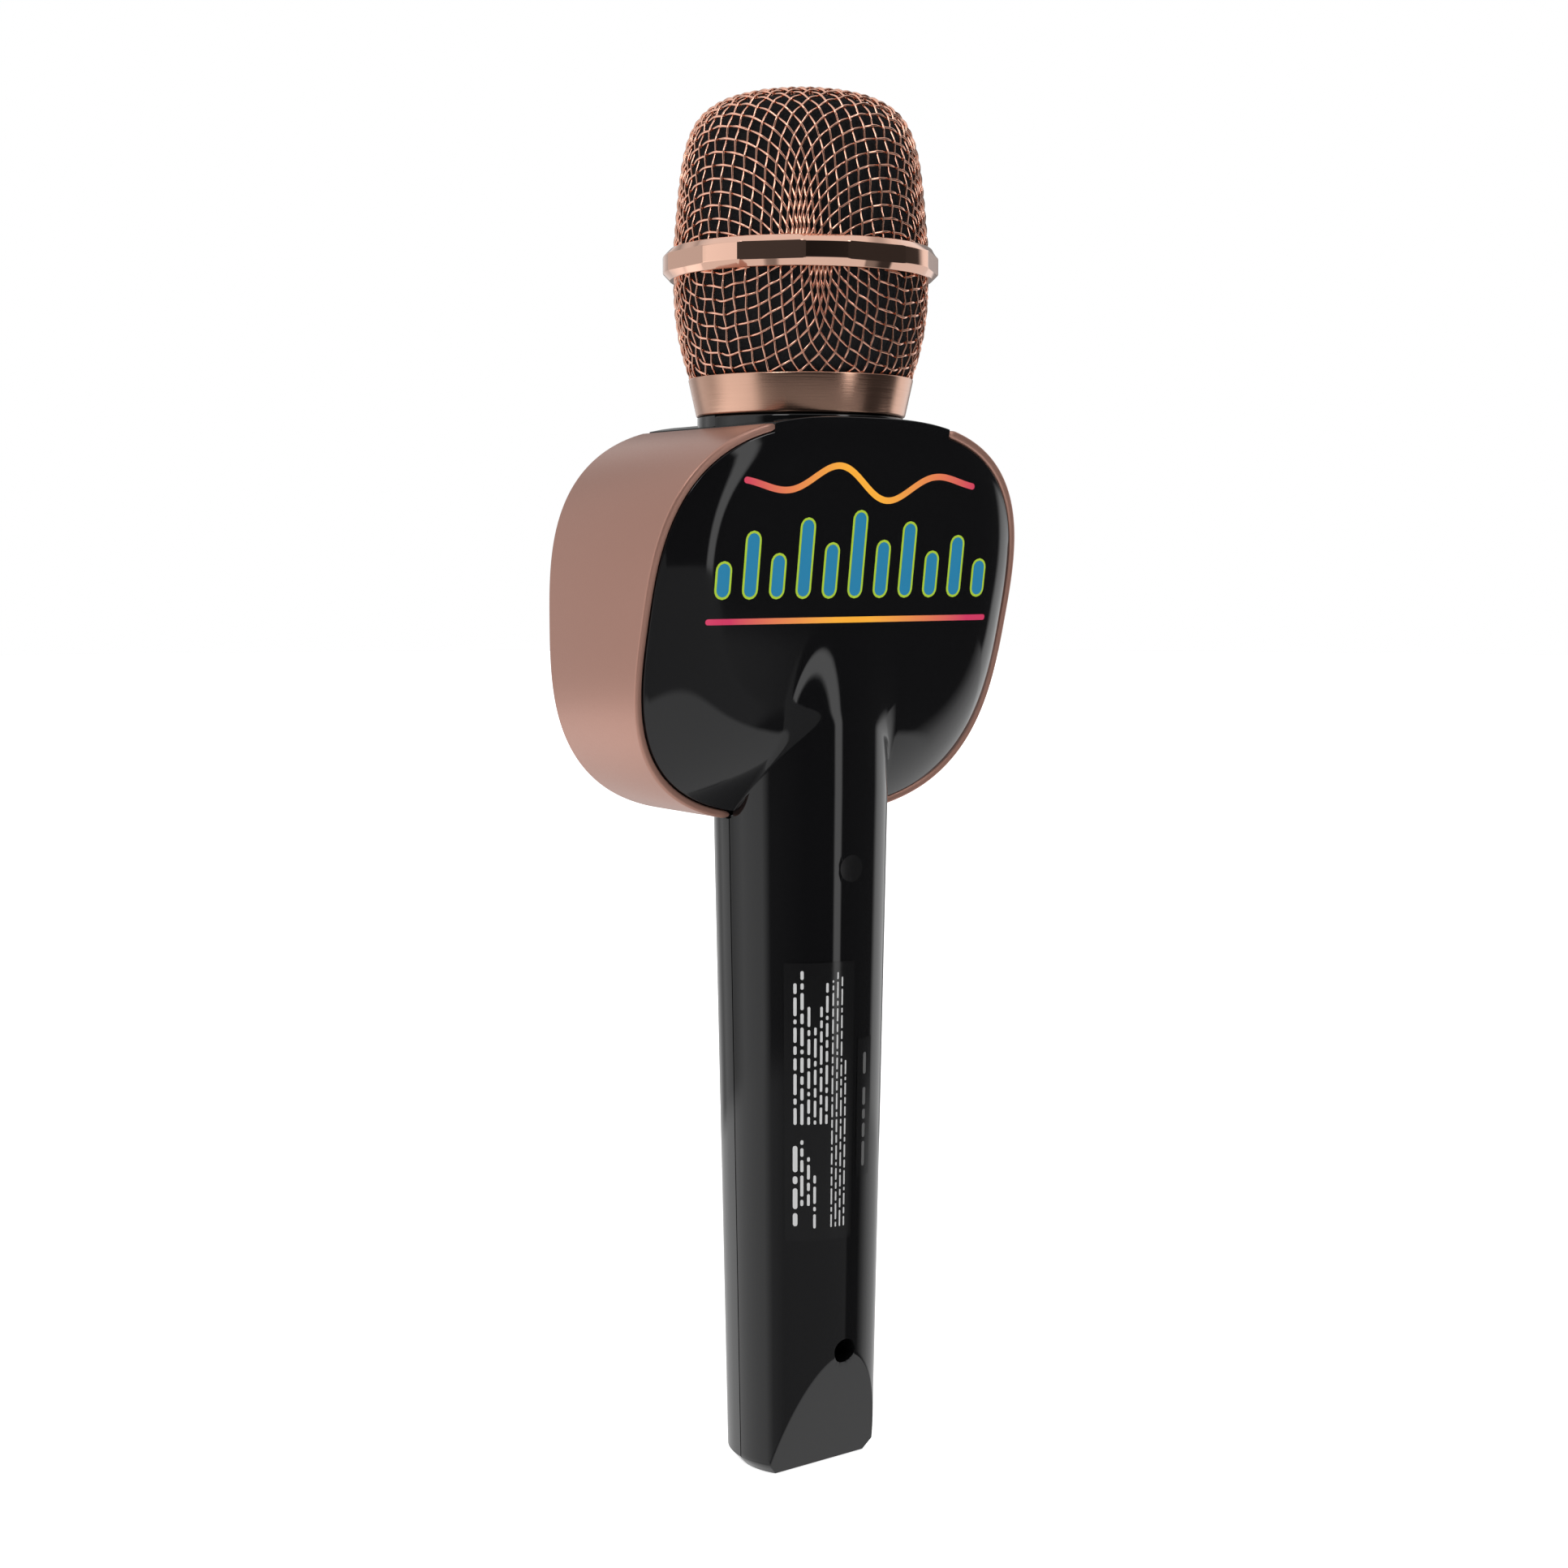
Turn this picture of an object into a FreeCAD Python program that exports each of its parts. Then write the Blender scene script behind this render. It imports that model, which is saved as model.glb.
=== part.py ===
"""Handheld karaoke microphone with a built-in speaker, modelled as separate sub-parts.

Row frame, in millimetres: +Z runs up the handle from its flat bottom end to the mesh head, the speaker and
the controls face -Y, the plain rear cover faces +Y, and the origin is on the handle's axis at its bottom end.
"""
import FreeCAD, Part
import math
import os
import re

import Sketcher

SIZES = {
    # handle: a slightly conical tube, split into a front and a rear shell on the plane Y = 0
    "base_radius": (14.5, "handle radius at the bottom end"),
    "taper": (0.0192, "growth of the handle radius per millimetre of height"),
    "wall": (2.0, "wall thickness of the moulded shells"),
    "handle_top": (155.0, "height where the handle's cone rounds over into the rear face"),
    "chamfer_rise": (2.2, "height of the chamfer round the bottom end"),
    "chamfer_run": (1.9, "radial width of the same chamfer"),
    "facet_start": (6.6, "distance of the slanted rear facet from the axis at the bottom end"),
    "facet_slope": (0.34, "outward run of the slanted facet per millimetre of height"),
    "facet_top": (28.0, "height where the slanted facet meets the round handle"),
    # housing: a superellipse outline seen from the front, deeper at its top than at its bottom
    "outline_width": (43.15, "half width of the housing outline"),
    "outline_rise": (38.4, "half height of the housing outline"),
    "outline_centre": (166.85, "height of the outline's centre"),
    "outline_power": (2.9, "exponent of the superellipse"),
    "front_plane": (22.8, "distance of the bands' front edge in front of the axis"),
    "lip_centre": (11.74, "distance of the bands' rear edge behind the axis at lip_height"),
    "lip_height": (170.0, "height at which lip_centre is taken"),
    "lip_slope": (0.261, "rearward run of the bands' rear edge per millimetre of height"),
    "face_centre": (16.6, "distance of the flat rear face behind the axis at face_height"),
    "face_height": (168.0, "height at which face_centre is taken"),
    "face_slope": (0.14, "rearward run of the rear face per millimetre of height"),
    "band_wall": (1.5, "thickness of the side bands"),
    "band_gap": (0.1, "gap between a band and the shell under it"),
    "band_top_start": (20.5, "half width of the shell bridge between the bands at the top"),
    "band_low_start": (17.7, "half width of the shell bridge between the bands at the bottom"),
    # neck and head
    "neck_radius": (19.9, "outer radius of the black neck under the head"),
    "neck_foot": (198.0, "height where the neck's tube starts inside the housing"),
    "neck_top": (205.8, "height of the neck's end"),
    "groove_bottom": (202.6, "height of the groove that traps the thread insert's flange"),
    "groove_height": (1.8, "height of the same groove"),
    "groove_radius": (18.9, "radius of the same groove"),
    "collar_low_radius": (20.06, "collar radius at its lower edge"),
    "collar_high_radius": (21.66, "collar radius at its upper edge"),
    "collar_bottom": (205.95, "height of the collar's lower edge"),
    "collar_top": (213.25, "height of the collar's upper edge"),
    "head_bore": (17.8, "radius of the head's bore, which passes over the capsule"),
    "ring_bottom": (231.8, "height of the mesh joint ring's lower edge"),
    "ring_top": (237.5, "height of its upper edge"),
    "ring_radius": (26.4, "largest radius of the mesh joint ring"),
    "ring_facet": (25.62, "distance of the ring's eight flats from the axis"),
    "mesh_radius": (24.45, "radius of the mesh where both baskets meet the ring"),
    "mesh_sheet": (1.0, "thickness of the woven wire baskets"),
    "total_height": (267.0, "height of the whole microphone"),
    "foam_sheet": (2.6, "thickness of the foam windscreen inside the mesh"),
    "thread_crest": (17.3, "crest radius of the neck's external thread"),
    "thread_root": (16.5, "root radius of the same thread"),
    "thread_pitch": (2.0, "pitch of the same thread"),
    "insert_bore": (14.0, "bore radius of the thread insert"),
    "holder_radius": (12.0, "outer radius of the capsule's post"),
    "holder_bore": (9.8, "bore radius of the capsule's post"),
    "cup_foot_radius": (21.5, "radius of the lower basket where it leaves the collar"),
    "cup_middle_radius": (23.8, "radius of the lower basket half way up"),
    "cup_middle": (8.75, "rise of the lower basket to half way up"),
    "cup_rise": (18.15, "rise of the lower basket to its full radius"),
    "capsule_radius": (13.0, "radius of the microphone capsule"),
    "capsule_foot": (222.4, "height of the capsule's back"),
    # loudspeaker, facing -Y, measured from its centre
    "speaker_height": (166.0, "height of the loudspeaker's axis"),
    "shell_front": (22.2, "distance of the front shell's face in front of the axis"),
    "front_wall": (2.5, "thickness of the front shell's face"),
    "speaker_opening": (26.6, "radius of the opening in the front shell's face"),
    "grille_radius": (28.9, "radius of the perforated grille"),
    "grille_sheet": (0.8, "thickness of the perforated grille"),
    "trim_radius": (31.6, "outer radius of the trim ring round the grille"),
    "ear_circle": (32.0, "radius of the circle through the four speaker screws"),
    # controls on the front of the handle
    "panel_face": (14.3, "distance of the control panel's face in front of the axis"),
    "panel_sheet": (1.0, "thickness of the control panel"),
    "panel_half": (6.6, "half width of the control panel"),
    "panel_bottom": (30.0, "height of the control panel's lower end"),
    "panel_top": (118.0, "height of its upper end"),
    "floor_inner": (11.9, "distance of the panel seat's inner face in front of the axis"),
    "cap_proud": (0.9, "height of the button caps above the panel"),
    "button_slack": (0.15, "gap round each button cap"),
    "press": (0.4, "travel of each button"),
    "slider_height": (38.5, "height of the power slider at rest, switched off"),
    "slider_travel": (2.5, "travel of the power slider"),
    "light_height": (112.5, "height of the two status lights"),
    "light_side": (2.2, "distance of each status light from the middle"),
    # electronics
    "board_face": (6.9, "distance of the main board's front face in front of the axis"),
    "board_sheet": (1.0, "thickness of the main board"),
    "board_half": (9.5, "half width of the main board"),
    "board_bottom": (3.0, "height of the main board's lower edge"),
    "board_top": (114.0, "height of the main board's upper edge"),
    "cell_radius": (9.1, "radius of the rechargeable cell"),
    "cell_length": (65.0, "length of the rechargeable cell"),
    "cell_bottom": (50.0, "height of the cell's lower end"),
    "cell_centre": (3.95, "distance of the cell's axis behind the handle's axis"),
    "socket_x": (5.3, "distance of the headphone socket to the right of the axis"),
    "socket_y": (2.9, "distance of the headphone socket in front of the axis"),
    "plug_bore": (1.8, "bore radius of the headphone socket"),
    "usb_x": (4.7, "distance of the charging socket to the left of the axis"),
    "usb_y": (4.25, "distance of the charging socket in front of the axis"),
    "switch_half": (2.9, "half width of each push switch"),
    "switch_rise": (2.8, "height of each push switch above the board"),
    # screws
    "boss_radius": (3.6, "radius of the posts for the handle screws"),
    "low_screw": (25.0, "height of the open lower handle screw"),
    "high_screw": (120.3, "height of the plugged upper handle screw"),
    "screw_well": (2.45, "radius of the well that a handle screw's head drops into"),
    "plug_radius": (2.65, "radius of the plug over the upper screw"),
}

# name: (sideways place, height, cap radius); the row of controls from the top down
BUTTONS = {
    "volume_up_button": (0.0, 104.0, 3.1),
    "play_button": (0.0, 93.0, 4.4),
    "volume_down_button": (0.0, 82.0, 3.1),
    "previous_button": (-3.4, 71.0, 2.3),
    "next_button": (3.4, 71.0, 2.3),
    "echo_button": (-3.4, 60.5, 2.3),
    "voice_button": (3.4, 60.5, 2.3),
    "duet_button": (0.0, 50.5, 2.6),
}

TO_FRONT = FreeCAD.Rotation(FreeCAD.Vector(1, 0, 0), 90)
TO_REAR = FreeCAD.Rotation(FreeCAD.Vector(1, 0, 0), -90)
UPRIGHT = FreeCAD.Rotation(FreeCAD.Vector(0, 0, 1), 90)
STRAIGHT = FreeCAD.Rotation()
NODES = []

doc = FreeCAD.newDocument("karaoke_microphone")
sheet = doc.addObject("Spreadsheet::Sheet", "dims")
for row, (alias, (size, meaning)) in enumerate(SIZES.items(), start=1):
    sheet.set(f"A{row}", alias)
    sheet.set(f"B{row}", str(size))
    sheet.set(f"C{row}", meaning)
    sheet.setAlias(f"B{row}", alias)
doc.recompute()


# ---------------------------------------------------------------- helpers

def spelled(formula):
    """A formula with each driving dimension written out as its cell of the sheet."""
    def cell(match):
        word = match.group()
        return "dims." + word if word in SIZES else word
    return re.sub(r"[A-Za-z_]+", cell, str(formula))


def size(formula):
    """The number that a formula over the driving dimensions gives."""
    return float(sheet.evalExpression(spelled(formula)))


def bind(item, at=(0, 0, 0), turn=STRAIGHT, **sizes):
    """Tie an object's sizes and its place to the sheet."""
    item.Placement = FreeCAD.Placement(FreeCAD.Vector(), turn)
    for name, formula in sizes.items():
        item.setExpression(name, spelled(formula))
    for axis, formula in zip("xyz", at):
        item.setExpression("Placement.Base." + axis, spelled(formula))
    return item


def cylinder(radius, length, at=(0, 0, 0), turn=UPRIGHT):
    """Round bar from the point at, along its turned Z axis."""
    return bind(doc.addObject("Part::Cylinder", "bar"), at, turn, Radius=radius, Height=length)


def cone(low, high, length, at=(0, 0, 0), turn=UPRIGHT):
    """Cone from radius low at the point at to radius high at its far end."""
    return bind(doc.addObject("Part::Cone", "taper"), at, turn, Radius1=low, Radius2=high, Height=length)


def box(x, y, z):
    """Block between pairs of formulas along each axis."""
    item = doc.addObject("Part::Box", "block")
    spans = {name: f"({high}) - ({low})" for name, (low, high) in zip(("Length", "Width", "Height"), (x, y, z))}
    return bind(item, (x[0], y[0], z[0]), **spans)


def sphere(radius, at):
    """Ball about the point at."""
    return bind(doc.addObject("Part::Sphere", "ball"), at, UPRIGHT, Radius=radius)


def fuse(*items):
    """Union of objects."""
    item = doc.addObject("Part::MultiFuse", "union")
    item.Shapes = list(items)
    return item


def cut(base, *tools):
    """The base with every tool taken away."""
    item = doc.addObject("Part::Cut", "remainder")
    item.Base = base
    item.Tool = fuse(*tools) if len(tools) > 1 else tools[0]
    return item


def common(*items):
    """What all the objects share."""
    item = doc.addObject("Part::MultiCommon", "overlap")
    item.Shapes = list(items)
    return item


def solid(shape, name="form"):
    """Shape made with Part's own functions, as an object of the document."""
    item = doc.addObject("Part::Feature", name)
    item.Shape = shape
    return item


def group(*items):
    """Several separate solids of one node."""
    item = doc.addObject("Part::Compound", "set")
    item.Links = list(items)
    return item


def node(item, label):
    """Keep an object as a sub-part under its own name."""
    item.Label = label
    NODES.append(item)
    return item


def origin_plane(body, role):
    """One of a body's own origin planes."""
    return next(plane for plane in body.Origin.OriginFeatures if plane.Role == role)


def turned(label, corners, at=(0, 0, 0), turn=STRAIGHT):
    """Body of revolution about its Z axis; corners are (radius, height) formulas in order."""
    body = doc.addObject("PartDesign::Body", label + "_body")
    sketch = body.newObject("Sketcher::SketchObject", label + "_profile")
    sketch.AttachmentSupport = (origin_plane(body, "XZ_Plane"), [""])
    sketch.MapMode = "FlatFace"
    points = [FreeCAD.Vector(size(radius), size(height), 0) for radius, height in corners]
    for index, point in enumerate(points):
        sketch.addGeometry(Part.LineSegment(point, points[(index + 1) % len(points)]), False)
    for index in range(len(points)):
        sketch.addConstraint(Sketcher.Constraint("Coincident", index, 2, (index + 1) % len(points), 1))
    for index, (radius, height) in enumerate(corners):
        for kind, formula in (("DistanceX", radius), ("DistanceY", height)):
            constraint = Sketcher.Constraint(kind, -1, 1, index, 1, size(formula))
            number = sketch.addConstraint(constraint)
            sketch.setExpression(f"Constraints[{number}]", spelled(formula))
    spin = body.newObject("PartDesign::Revolution", label + "_revolution")
    spin.Profile = (sketch, [""])
    spin.ReferenceAxis = (sketch, ["V_Axis"])
    spin.Angle = 360
    body.Tip = spin
    bind(body, at, turn)
    return body


def lathe(edges):
    """Solid turned about the Z axis from joined edges of its half section."""
    wire = Part.Wire(edges)
    return Part.Face(wire).revolve(FreeCAD.Vector(), FreeCAD.Vector(0, 0, 1), 360)


def section_point(radius, height):
    """Point of a half section."""
    return FreeCAD.Vector(radius, 0, height)


def line(start, end):
    """Straight edge of a half section."""
    return Part.LineSegment(section_point(*start), section_point(*end)).toShape()


def arc(start, middle, end):
    """Arc edge of a half section through three points."""
    return Part.Arc(section_point(*start), section_point(*middle), section_point(*end)).toShape()


def bezier(*poles):
    """Smooth edge of a half section from its control points."""
    curve = Part.BezierCurve()
    curve.setPoles([section_point(*pole) for pole in poles])
    return curve.toShape()


def cone_radius(height):
    """Formula for the handle's outer radius at a height."""
    return f"(base_radius + taper * ({height}))"


# ---------------------------------------------------------------- housing forms

OUTLINE_POINTS = 32


def outline_xz(angle, inset, shrink=1.0):
    """Point of the superellipse outline, moved in by an inset and scaled about its centre."""
    power = 2 / size("outline_power")
    across = math.copysign(abs(math.cos(angle)) ** power, math.cos(angle))
    up = math.copysign(abs(math.sin(angle)) ** power, math.sin(angle))
    x = (size("outline_width") - inset) * shrink * across
    z = size("outline_centre") + (size("outline_rise") - inset) * shrink * up
    return x, z


def closed_curve(points):
    """Smooth closed wire through points."""
    curve = Part.BSplineCurve()
    curve.interpolate(Points=points, PeriodicFlag=True)
    return Part.Wire(curve.toShape())


def outline_angles():
    """Parameter values that spread evenly round the outline."""
    return [2 * math.pi * index / OUTLINE_POINTS for index in range(OUTLINE_POINTS)]


def lip_y(height):
    """Distance of the bands' rear edge behind the axis at a height."""
    return size("lip_centre") + size("lip_slope") * (height - size("lip_height"))


def face_y(height):
    """Distance of the flat rear face behind the axis at a height."""
    return size("face_centre") + size("face_slope") * (height - size("face_height"))


def section(inset, depth, shrink=None):
    """Closed curve of the outline; depth gives Y at a height and shrink a scale at an angle."""
    points = []
    for angle in outline_angles():
        x, z = outline_xz(angle, inset, shrink(angle) if shrink else 1.0)
        points.append(FreeCAD.Vector(x, depth(z), z))
    return closed_curve(points)


def prism(inset, front, rear):
    """Outline prism between two depths, each a function of the height."""
    return Part.makeLoft([section(inset, front), section(inset, rear)], True, True)


def flat_share(angle):
    """Share of the way from the centre to the outline over which the rear face stays flat."""
    rise = math.sin(angle)
    return 0.77 + (0.15 if rise > 0 else 0.32) * rise


def crown(inset, back, inward):
    """Curve on the rear cover's rounded border; inward runs from 0 at the lip to 1 at the flat face."""
    lift = 1 - (1 - inward) ** 1.6

    def depth(z):
        rim = lip_y(z) - back
        return rim + lift * (face_y(z) - back - rim)

    return section(inset, depth, lambda angle: 1 - inward * (1 - flat_share(angle)))


def housing_form(inset, front, back):
    """Whole housing volume, from its flat front to the crowned rear face."""
    curves = [section(inset, lambda z: -front)]
    curves += [crown(inset, back, inward) for inward in (0.0, 0.35, 0.7, 1.0)]
    return Part.makeLoft(curves, True, True)


# ---------------------------------------------------------------- moulded shells

def slanted_block(inward):
    """Everything outside the slanted rear facet of the bottom end, moved in by a distance."""
    top = size("facet_top") + 6
    start = size("facet_start") - inward
    slope = size("facet_slope")
    corners = [(start - slope, -1), (start + slope * top, top), (40, top), (40, -1)]
    points = [FreeCAD.Vector(-40, y, z) for y, z in corners]
    face = Part.Face(Part.makePolygon(points + points[:1]))
    return solid(face.extrude(FreeCAD.Vector(80, 0, 0)), "facet")


def bridges(form):
    """Full-width stretches of the housing between the two side bands, at its top and its bottom."""
    low = box(("-band_low_start + band_gap", "band_low_start - band_gap"), (-40, 40), (120, "outline_centre"))
    top = box(("-band_top_start + band_gap", "band_top_start - band_gap"), (-40, 40), ("outline_centre", 210))
    return common(form, fuse(low, top))


def handle_cone(inset, low, high):
    """Length of the handle's cone between two heights, moved in by an inset."""
    return cone(f"{cone_radius(low)} - {inset}", f"{cone_radius(high)} - {inset}", f"{high} - {low}", (0, 0, low))


def handle_form():
    """Outside of the handle: chamfered bottom end, cone and slanted rear facet."""
    chamfer = cone("base_radius - chamfer_run", cone_radius("chamfer_rise"), "chamfer_rise")
    return cut(fuse(chamfer, handle_cone(0, "chamfer_rise", "handle_top")), slanted_block(0))


def outer_form(handle):
    """Whole outside of both shells: housing, handle, rounded handle top and neck."""
    bare = size("band_wall") + size("band_gap")
    core = solid(housing_form(bare, size("shell_front"), 0.0), "housing_core")
    full = solid(housing_form(0.0, size("shell_front"), 0.0), "housing_full")
    nose = sphere(cone_radius("handle_top"), (0, 0, "handle_top"))
    neck = cylinder("neck_radius", "neck_top - neck_foot", (0, 0, "neck_foot"))
    return fuse(core, bridges(full), handle, nose, neck)


def inner_form():
    """Space inside both shells."""
    inset = size("band_wall") + size("band_gap") + size("wall")
    room = solid(housing_form(inset, size("shell_front") - size("front_wall"), size("wall")), "housing_room")
    tube = cut(handle_cone("wall", "chamfer_rise", "handle_top"), slanted_block(size("wall")))
    nose = sphere(f"{cone_radius('handle_top')} - wall", (0, 0, "handle_top"))
    neck = cylinder("thread_root + 0.2", 20, (0, 0, "neck_foot - 8"))
    groove = cylinder("groove_radius", "groove_height", (0, 0, "groove_bottom"))
    return fuse(room, tube, nose, neck, groove)


def screw_boss(height, radius, turn):
    """Post for a handle screw, from the parting plane to beyond the handle's surface on one side."""
    return cylinder(radius, 20, (0, 0, height), turn)


def rear_shell(outside, inside, handle):
    """Rear half of the handle, housing and neck, with wells for the two handle screws."""
    half = common(outside, box((-60, 60), (0, 60), (-5, 220)))
    posts = [common(handle, screw_boss(height, "boss_radius", TO_REAR)) for height in ("low_screw", "high_screw")]
    walls = fuse(cut(half, inside), *posts)
    wells = [cylinder("screw_well", 30, (0, 4, height), TO_REAR) for height in ("low_screw", "high_screw")]
    holes = [cylinder(1.6, 6, (0, -1, height), TO_REAR) for height in ("low_screw", "high_screw")]
    seat = cylinder("plug_radius + 0.1", 10, (0, 13, "high_screw"), TO_REAR)
    return node(cut(walls, *wells, *holes, seat), "rear_shell")


def speaker_ears():
    """Places of the four speaker screws, seen from the front, as (x, z) formulas."""
    reach = "ear_circle * 0.7071"
    return [(f"{x} * {reach}", f"speaker_height + {z} * {reach}") for x in (-1, 1) for z in (-1, 1)]


def panel_slots():
    """Holes for the button caps, the slider and the light pipes, through the panel and its seat."""
    holes = []
    for x, z, radius in BUTTONS.values():
        holes.append(cylinder(f"{radius} + button_slack", 10, (x, -11, z), TO_FRONT))
    holes.append(box((-1.9, 1.9), (-21, -11), ("slider_height - 2.5", "slider_height + 2.5 + slider_travel")))
    for side in (-1, 1):
        holes.append(cylinder(1.05, 10, (f"{side} * light_side", -11, "light_height"), TO_FRONT))
    return holes


def panel_blank(half, front, rear):
    """Oblong block with round ends, between two distances in front of the axis."""
    ends = [("panel_bottom + panel_half"), ("panel_top - panel_half")]
    depth = f"({front}) - ({rear})"
    rounds = [cylinder(half, depth, (0, f"-({rear})", z), TO_FRONT) for z in ends]
    middle = box((f"-({half})", half), (f"-({front})", f"-({rear})"), (ends[0], ends[1]))
    return fuse(middle, *rounds)


def socket_holes():
    """Openings for the two sockets in the flat bottom end."""
    headphone = cylinder(3.1, 6, ("socket_x", "-socket_y", -1))
    charging = box(("-usb_x - 4.7", "-usb_x + 4.7"), ("-usb_y - 1.85", "-usb_y + 1.85"), (-1, 5))
    return [headphone, charging]


def front_shell(outside, inside, handle):
    """Front half of the handle, housing and neck, with the speaker opening and the panel seat."""
    half = common(outside, box((-60, 60), (-60, 0), (-5, 220)))
    seat = box((-8.4, 8.4), (-20, "-floor_inner"), ("panel_bottom - 2", "panel_top + 1.5"))
    walls = cut(half, cut(inside, seat))
    posts = [common(handle, screw_boss(height, "boss_radius - 0.2", TO_FRONT)) for height in ("low_screw", "high_screw")]
    inner_face = "-shell_front + front_wall"
    bosses = [cylinder(2.6, 2.0, (x, inner_face, z), TO_REAR) for x, z in speaker_ears()]
    holes = [cylinder(1.45, 8, (0, 0.5, height), TO_FRONT) for height in ("low_screw", "high_screw")]
    pilots = [cylinder(1.05, 4, (x, "-shell_front + 1", z), TO_REAR) for x, z in speaker_ears()]
    opening = cylinder("speaker_opening", 10, (0, "-shell_front - 1", "speaker_height"), TO_REAR)
    step = cylinder("grille_radius + 0.15", 2, (0, "-shell_front - 1.1", "speaker_height"), TO_REAR)
    recess = panel_blank("panel_half + 0.1", 25, "panel_face - panel_sheet - 0.05")
    solid_parts = fuse(walls, *posts, *bosses)
    tools = holes + pilots + [opening, step, recess] + panel_slots() + socket_holes()
    return node(cut(solid_parts, *tools), "front_shell")


def side_band(label, side):
    """C-shaped cover over one side of the housing."""
    front = -size("front_plane")
    whole = prism(0.0, lambda z: front, lip_y)
    inner = prism(size("band_wall"), lambda z: front - 1, lambda z: lip_y(z) + 1)
    strip = solid(whole.cut(inner), label + "_strip")
    low = ("band_low_start", 60) if side > 0 else (-60, "-band_low_start")
    top = ("band_top_start", 60) if side > 0 else (-60, "-band_top_start")
    span = fuse(box(low, (-40, 40), (120, "outline_centre")), box(top, (-40, 40), ("outline_centre", 210)))
    return node(common(strip, span), label)


def screw_plug(handle):
    """Flush plug over the upper handle screw."""
    return node(common(handle, cylinder("plug_radius", 8, (0, 13.1, "high_screw"), TO_REAR)), "screw_plug")


# ---------------------------------------------------------------- head

def upper_curve(inset):
    """Side and crown of the upper basket, moved in by an inset: one smooth curve of five control points."""
    radius = size("mesh_radius") - inset
    top = size("total_height") - inset
    start = size("ring_top") + 0.5
    return bezier((radius, start), (radius - 1.41, start + 16.6), (radius - 2.19, top - 4.25),
                  (radius - 4.6, top), (0, top))


def upper_basket():
    """Crown of woven wire, as one closed sheet."""
    radius = size("mesh_radius")
    sheet_wall = size("mesh_sheet")
    foot = size("ring_top") - 2.25
    start = size("ring_top") + 0.5
    edges = [
        line((radius, foot), (radius, start)),
        upper_curve(0),
        line((0, size("total_height")), (0, size("total_height") - sheet_wall)),
        upper_curve(sheet_wall),
        line((radius - sheet_wall, start), (radius - sheet_wall, foot)),
        line((radius - sheet_wall, foot), (radius, foot)),
    ]
    return node(solid(lathe(edges)), "upper_mesh_basket")


def lower_curve(inset):
    """Side of the lower basket from the collar up to the ring, moved in by an inset."""
    foot = size("collar_top") + 0.1
    return arc((size("cup_foot_radius") - inset, foot),
               (size("cup_middle_radius") - inset, foot + size("cup_middle")),
               (size("mesh_radius") - inset, foot + size("cup_rise")))


def lower_basket():
    """Cup of woven wire under the ring, as one closed sheet."""
    sheet_wall = size("mesh_sheet")
    foot = size("collar_top") + 0.1
    bend = foot + size("cup_rise")
    radius = size("mesh_radius")
    top = size("ring_bottom") + 2.1
    edges = [
        lower_curve(0),
        line((radius, bend), (radius, top)),
        line((radius, top), (radius - sheet_wall, top)),
        line((radius - sheet_wall, top), (radius - sheet_wall, bend)),
        lower_curve(sheet_wall),
        line((size("cup_foot_radius") - sheet_wall, foot), (size("cup_foot_radius"), foot)),
    ]
    return node(solid(lathe(edges)), "lower_mesh_basket")


def windscreen_foam():
    """Foam liner that follows the inside of both baskets."""
    outer = size("mesh_sheet") + 0.3
    inner = outer + size("foam_sheet")
    foot = size("collar_top") + 0.1
    bend = foot + size("cup_rise")
    start = size("ring_top") + 0.5
    radius = size("mesh_radius")
    top = size("total_height")
    edges = [
        lower_curve(outer),
        line((radius - outer, bend), (radius - outer, start)),
        upper_curve(outer),
        line((0, top - outer), (0, top - inner)),
        upper_curve(inner),
        line((radius - inner, start), (radius - inner, bend)),
        lower_curve(inner),
        line((size("cup_foot_radius") - inner, foot), (size("cup_foot_radius") - outer, foot)),
    ]
    return node(solid(lathe(edges)), "windscreen_foam")


def mesh_ring():
    """Ring that joins the baskets, with eight flats round its rim."""
    seat = "mesh_radius + 0.15"
    rim = turned("mesh_ring", [
        ("25", "ring_bottom"), ("ring_radius", "ring_bottom + 1.6"), ("ring_radius", "ring_top - 1.6"),
        ("mesh_radius + 0.4", "ring_top"), (seat, "ring_top"), (seat, "ring_top - 2.3"),
        ("23.3", "ring_top - 2.3"), ("23.3", "ring_bottom + 2.2"), (seat, "ring_bottom + 2.2"),
        (seat, "ring_bottom"),
    ])
    prism_item = doc.addObject("Part::Prism", "octagon")
    prism_item.Polygon = 8
    turn = FreeCAD.Rotation(FreeCAD.Vector(0, 0, 1), -25.5)
    octagon = bind(prism_item, (0, 0, "ring_bottom - 1"), turn, Circumradius="ring_facet / cos(22.5)", Height="8")
    return node(common(rim, octagon), "mesh_joint_ring")


def head_collar():
    """Conical collar that screws onto the neck."""
    body = turned("head_collar", [
        ("head_bore", "collar_bottom"), ("collar_low_radius", "collar_bottom"),
        ("collar_high_radius", "collar_top"), ("head_bore", "collar_top"),
    ])
    return node(body, "head_collar")


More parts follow.
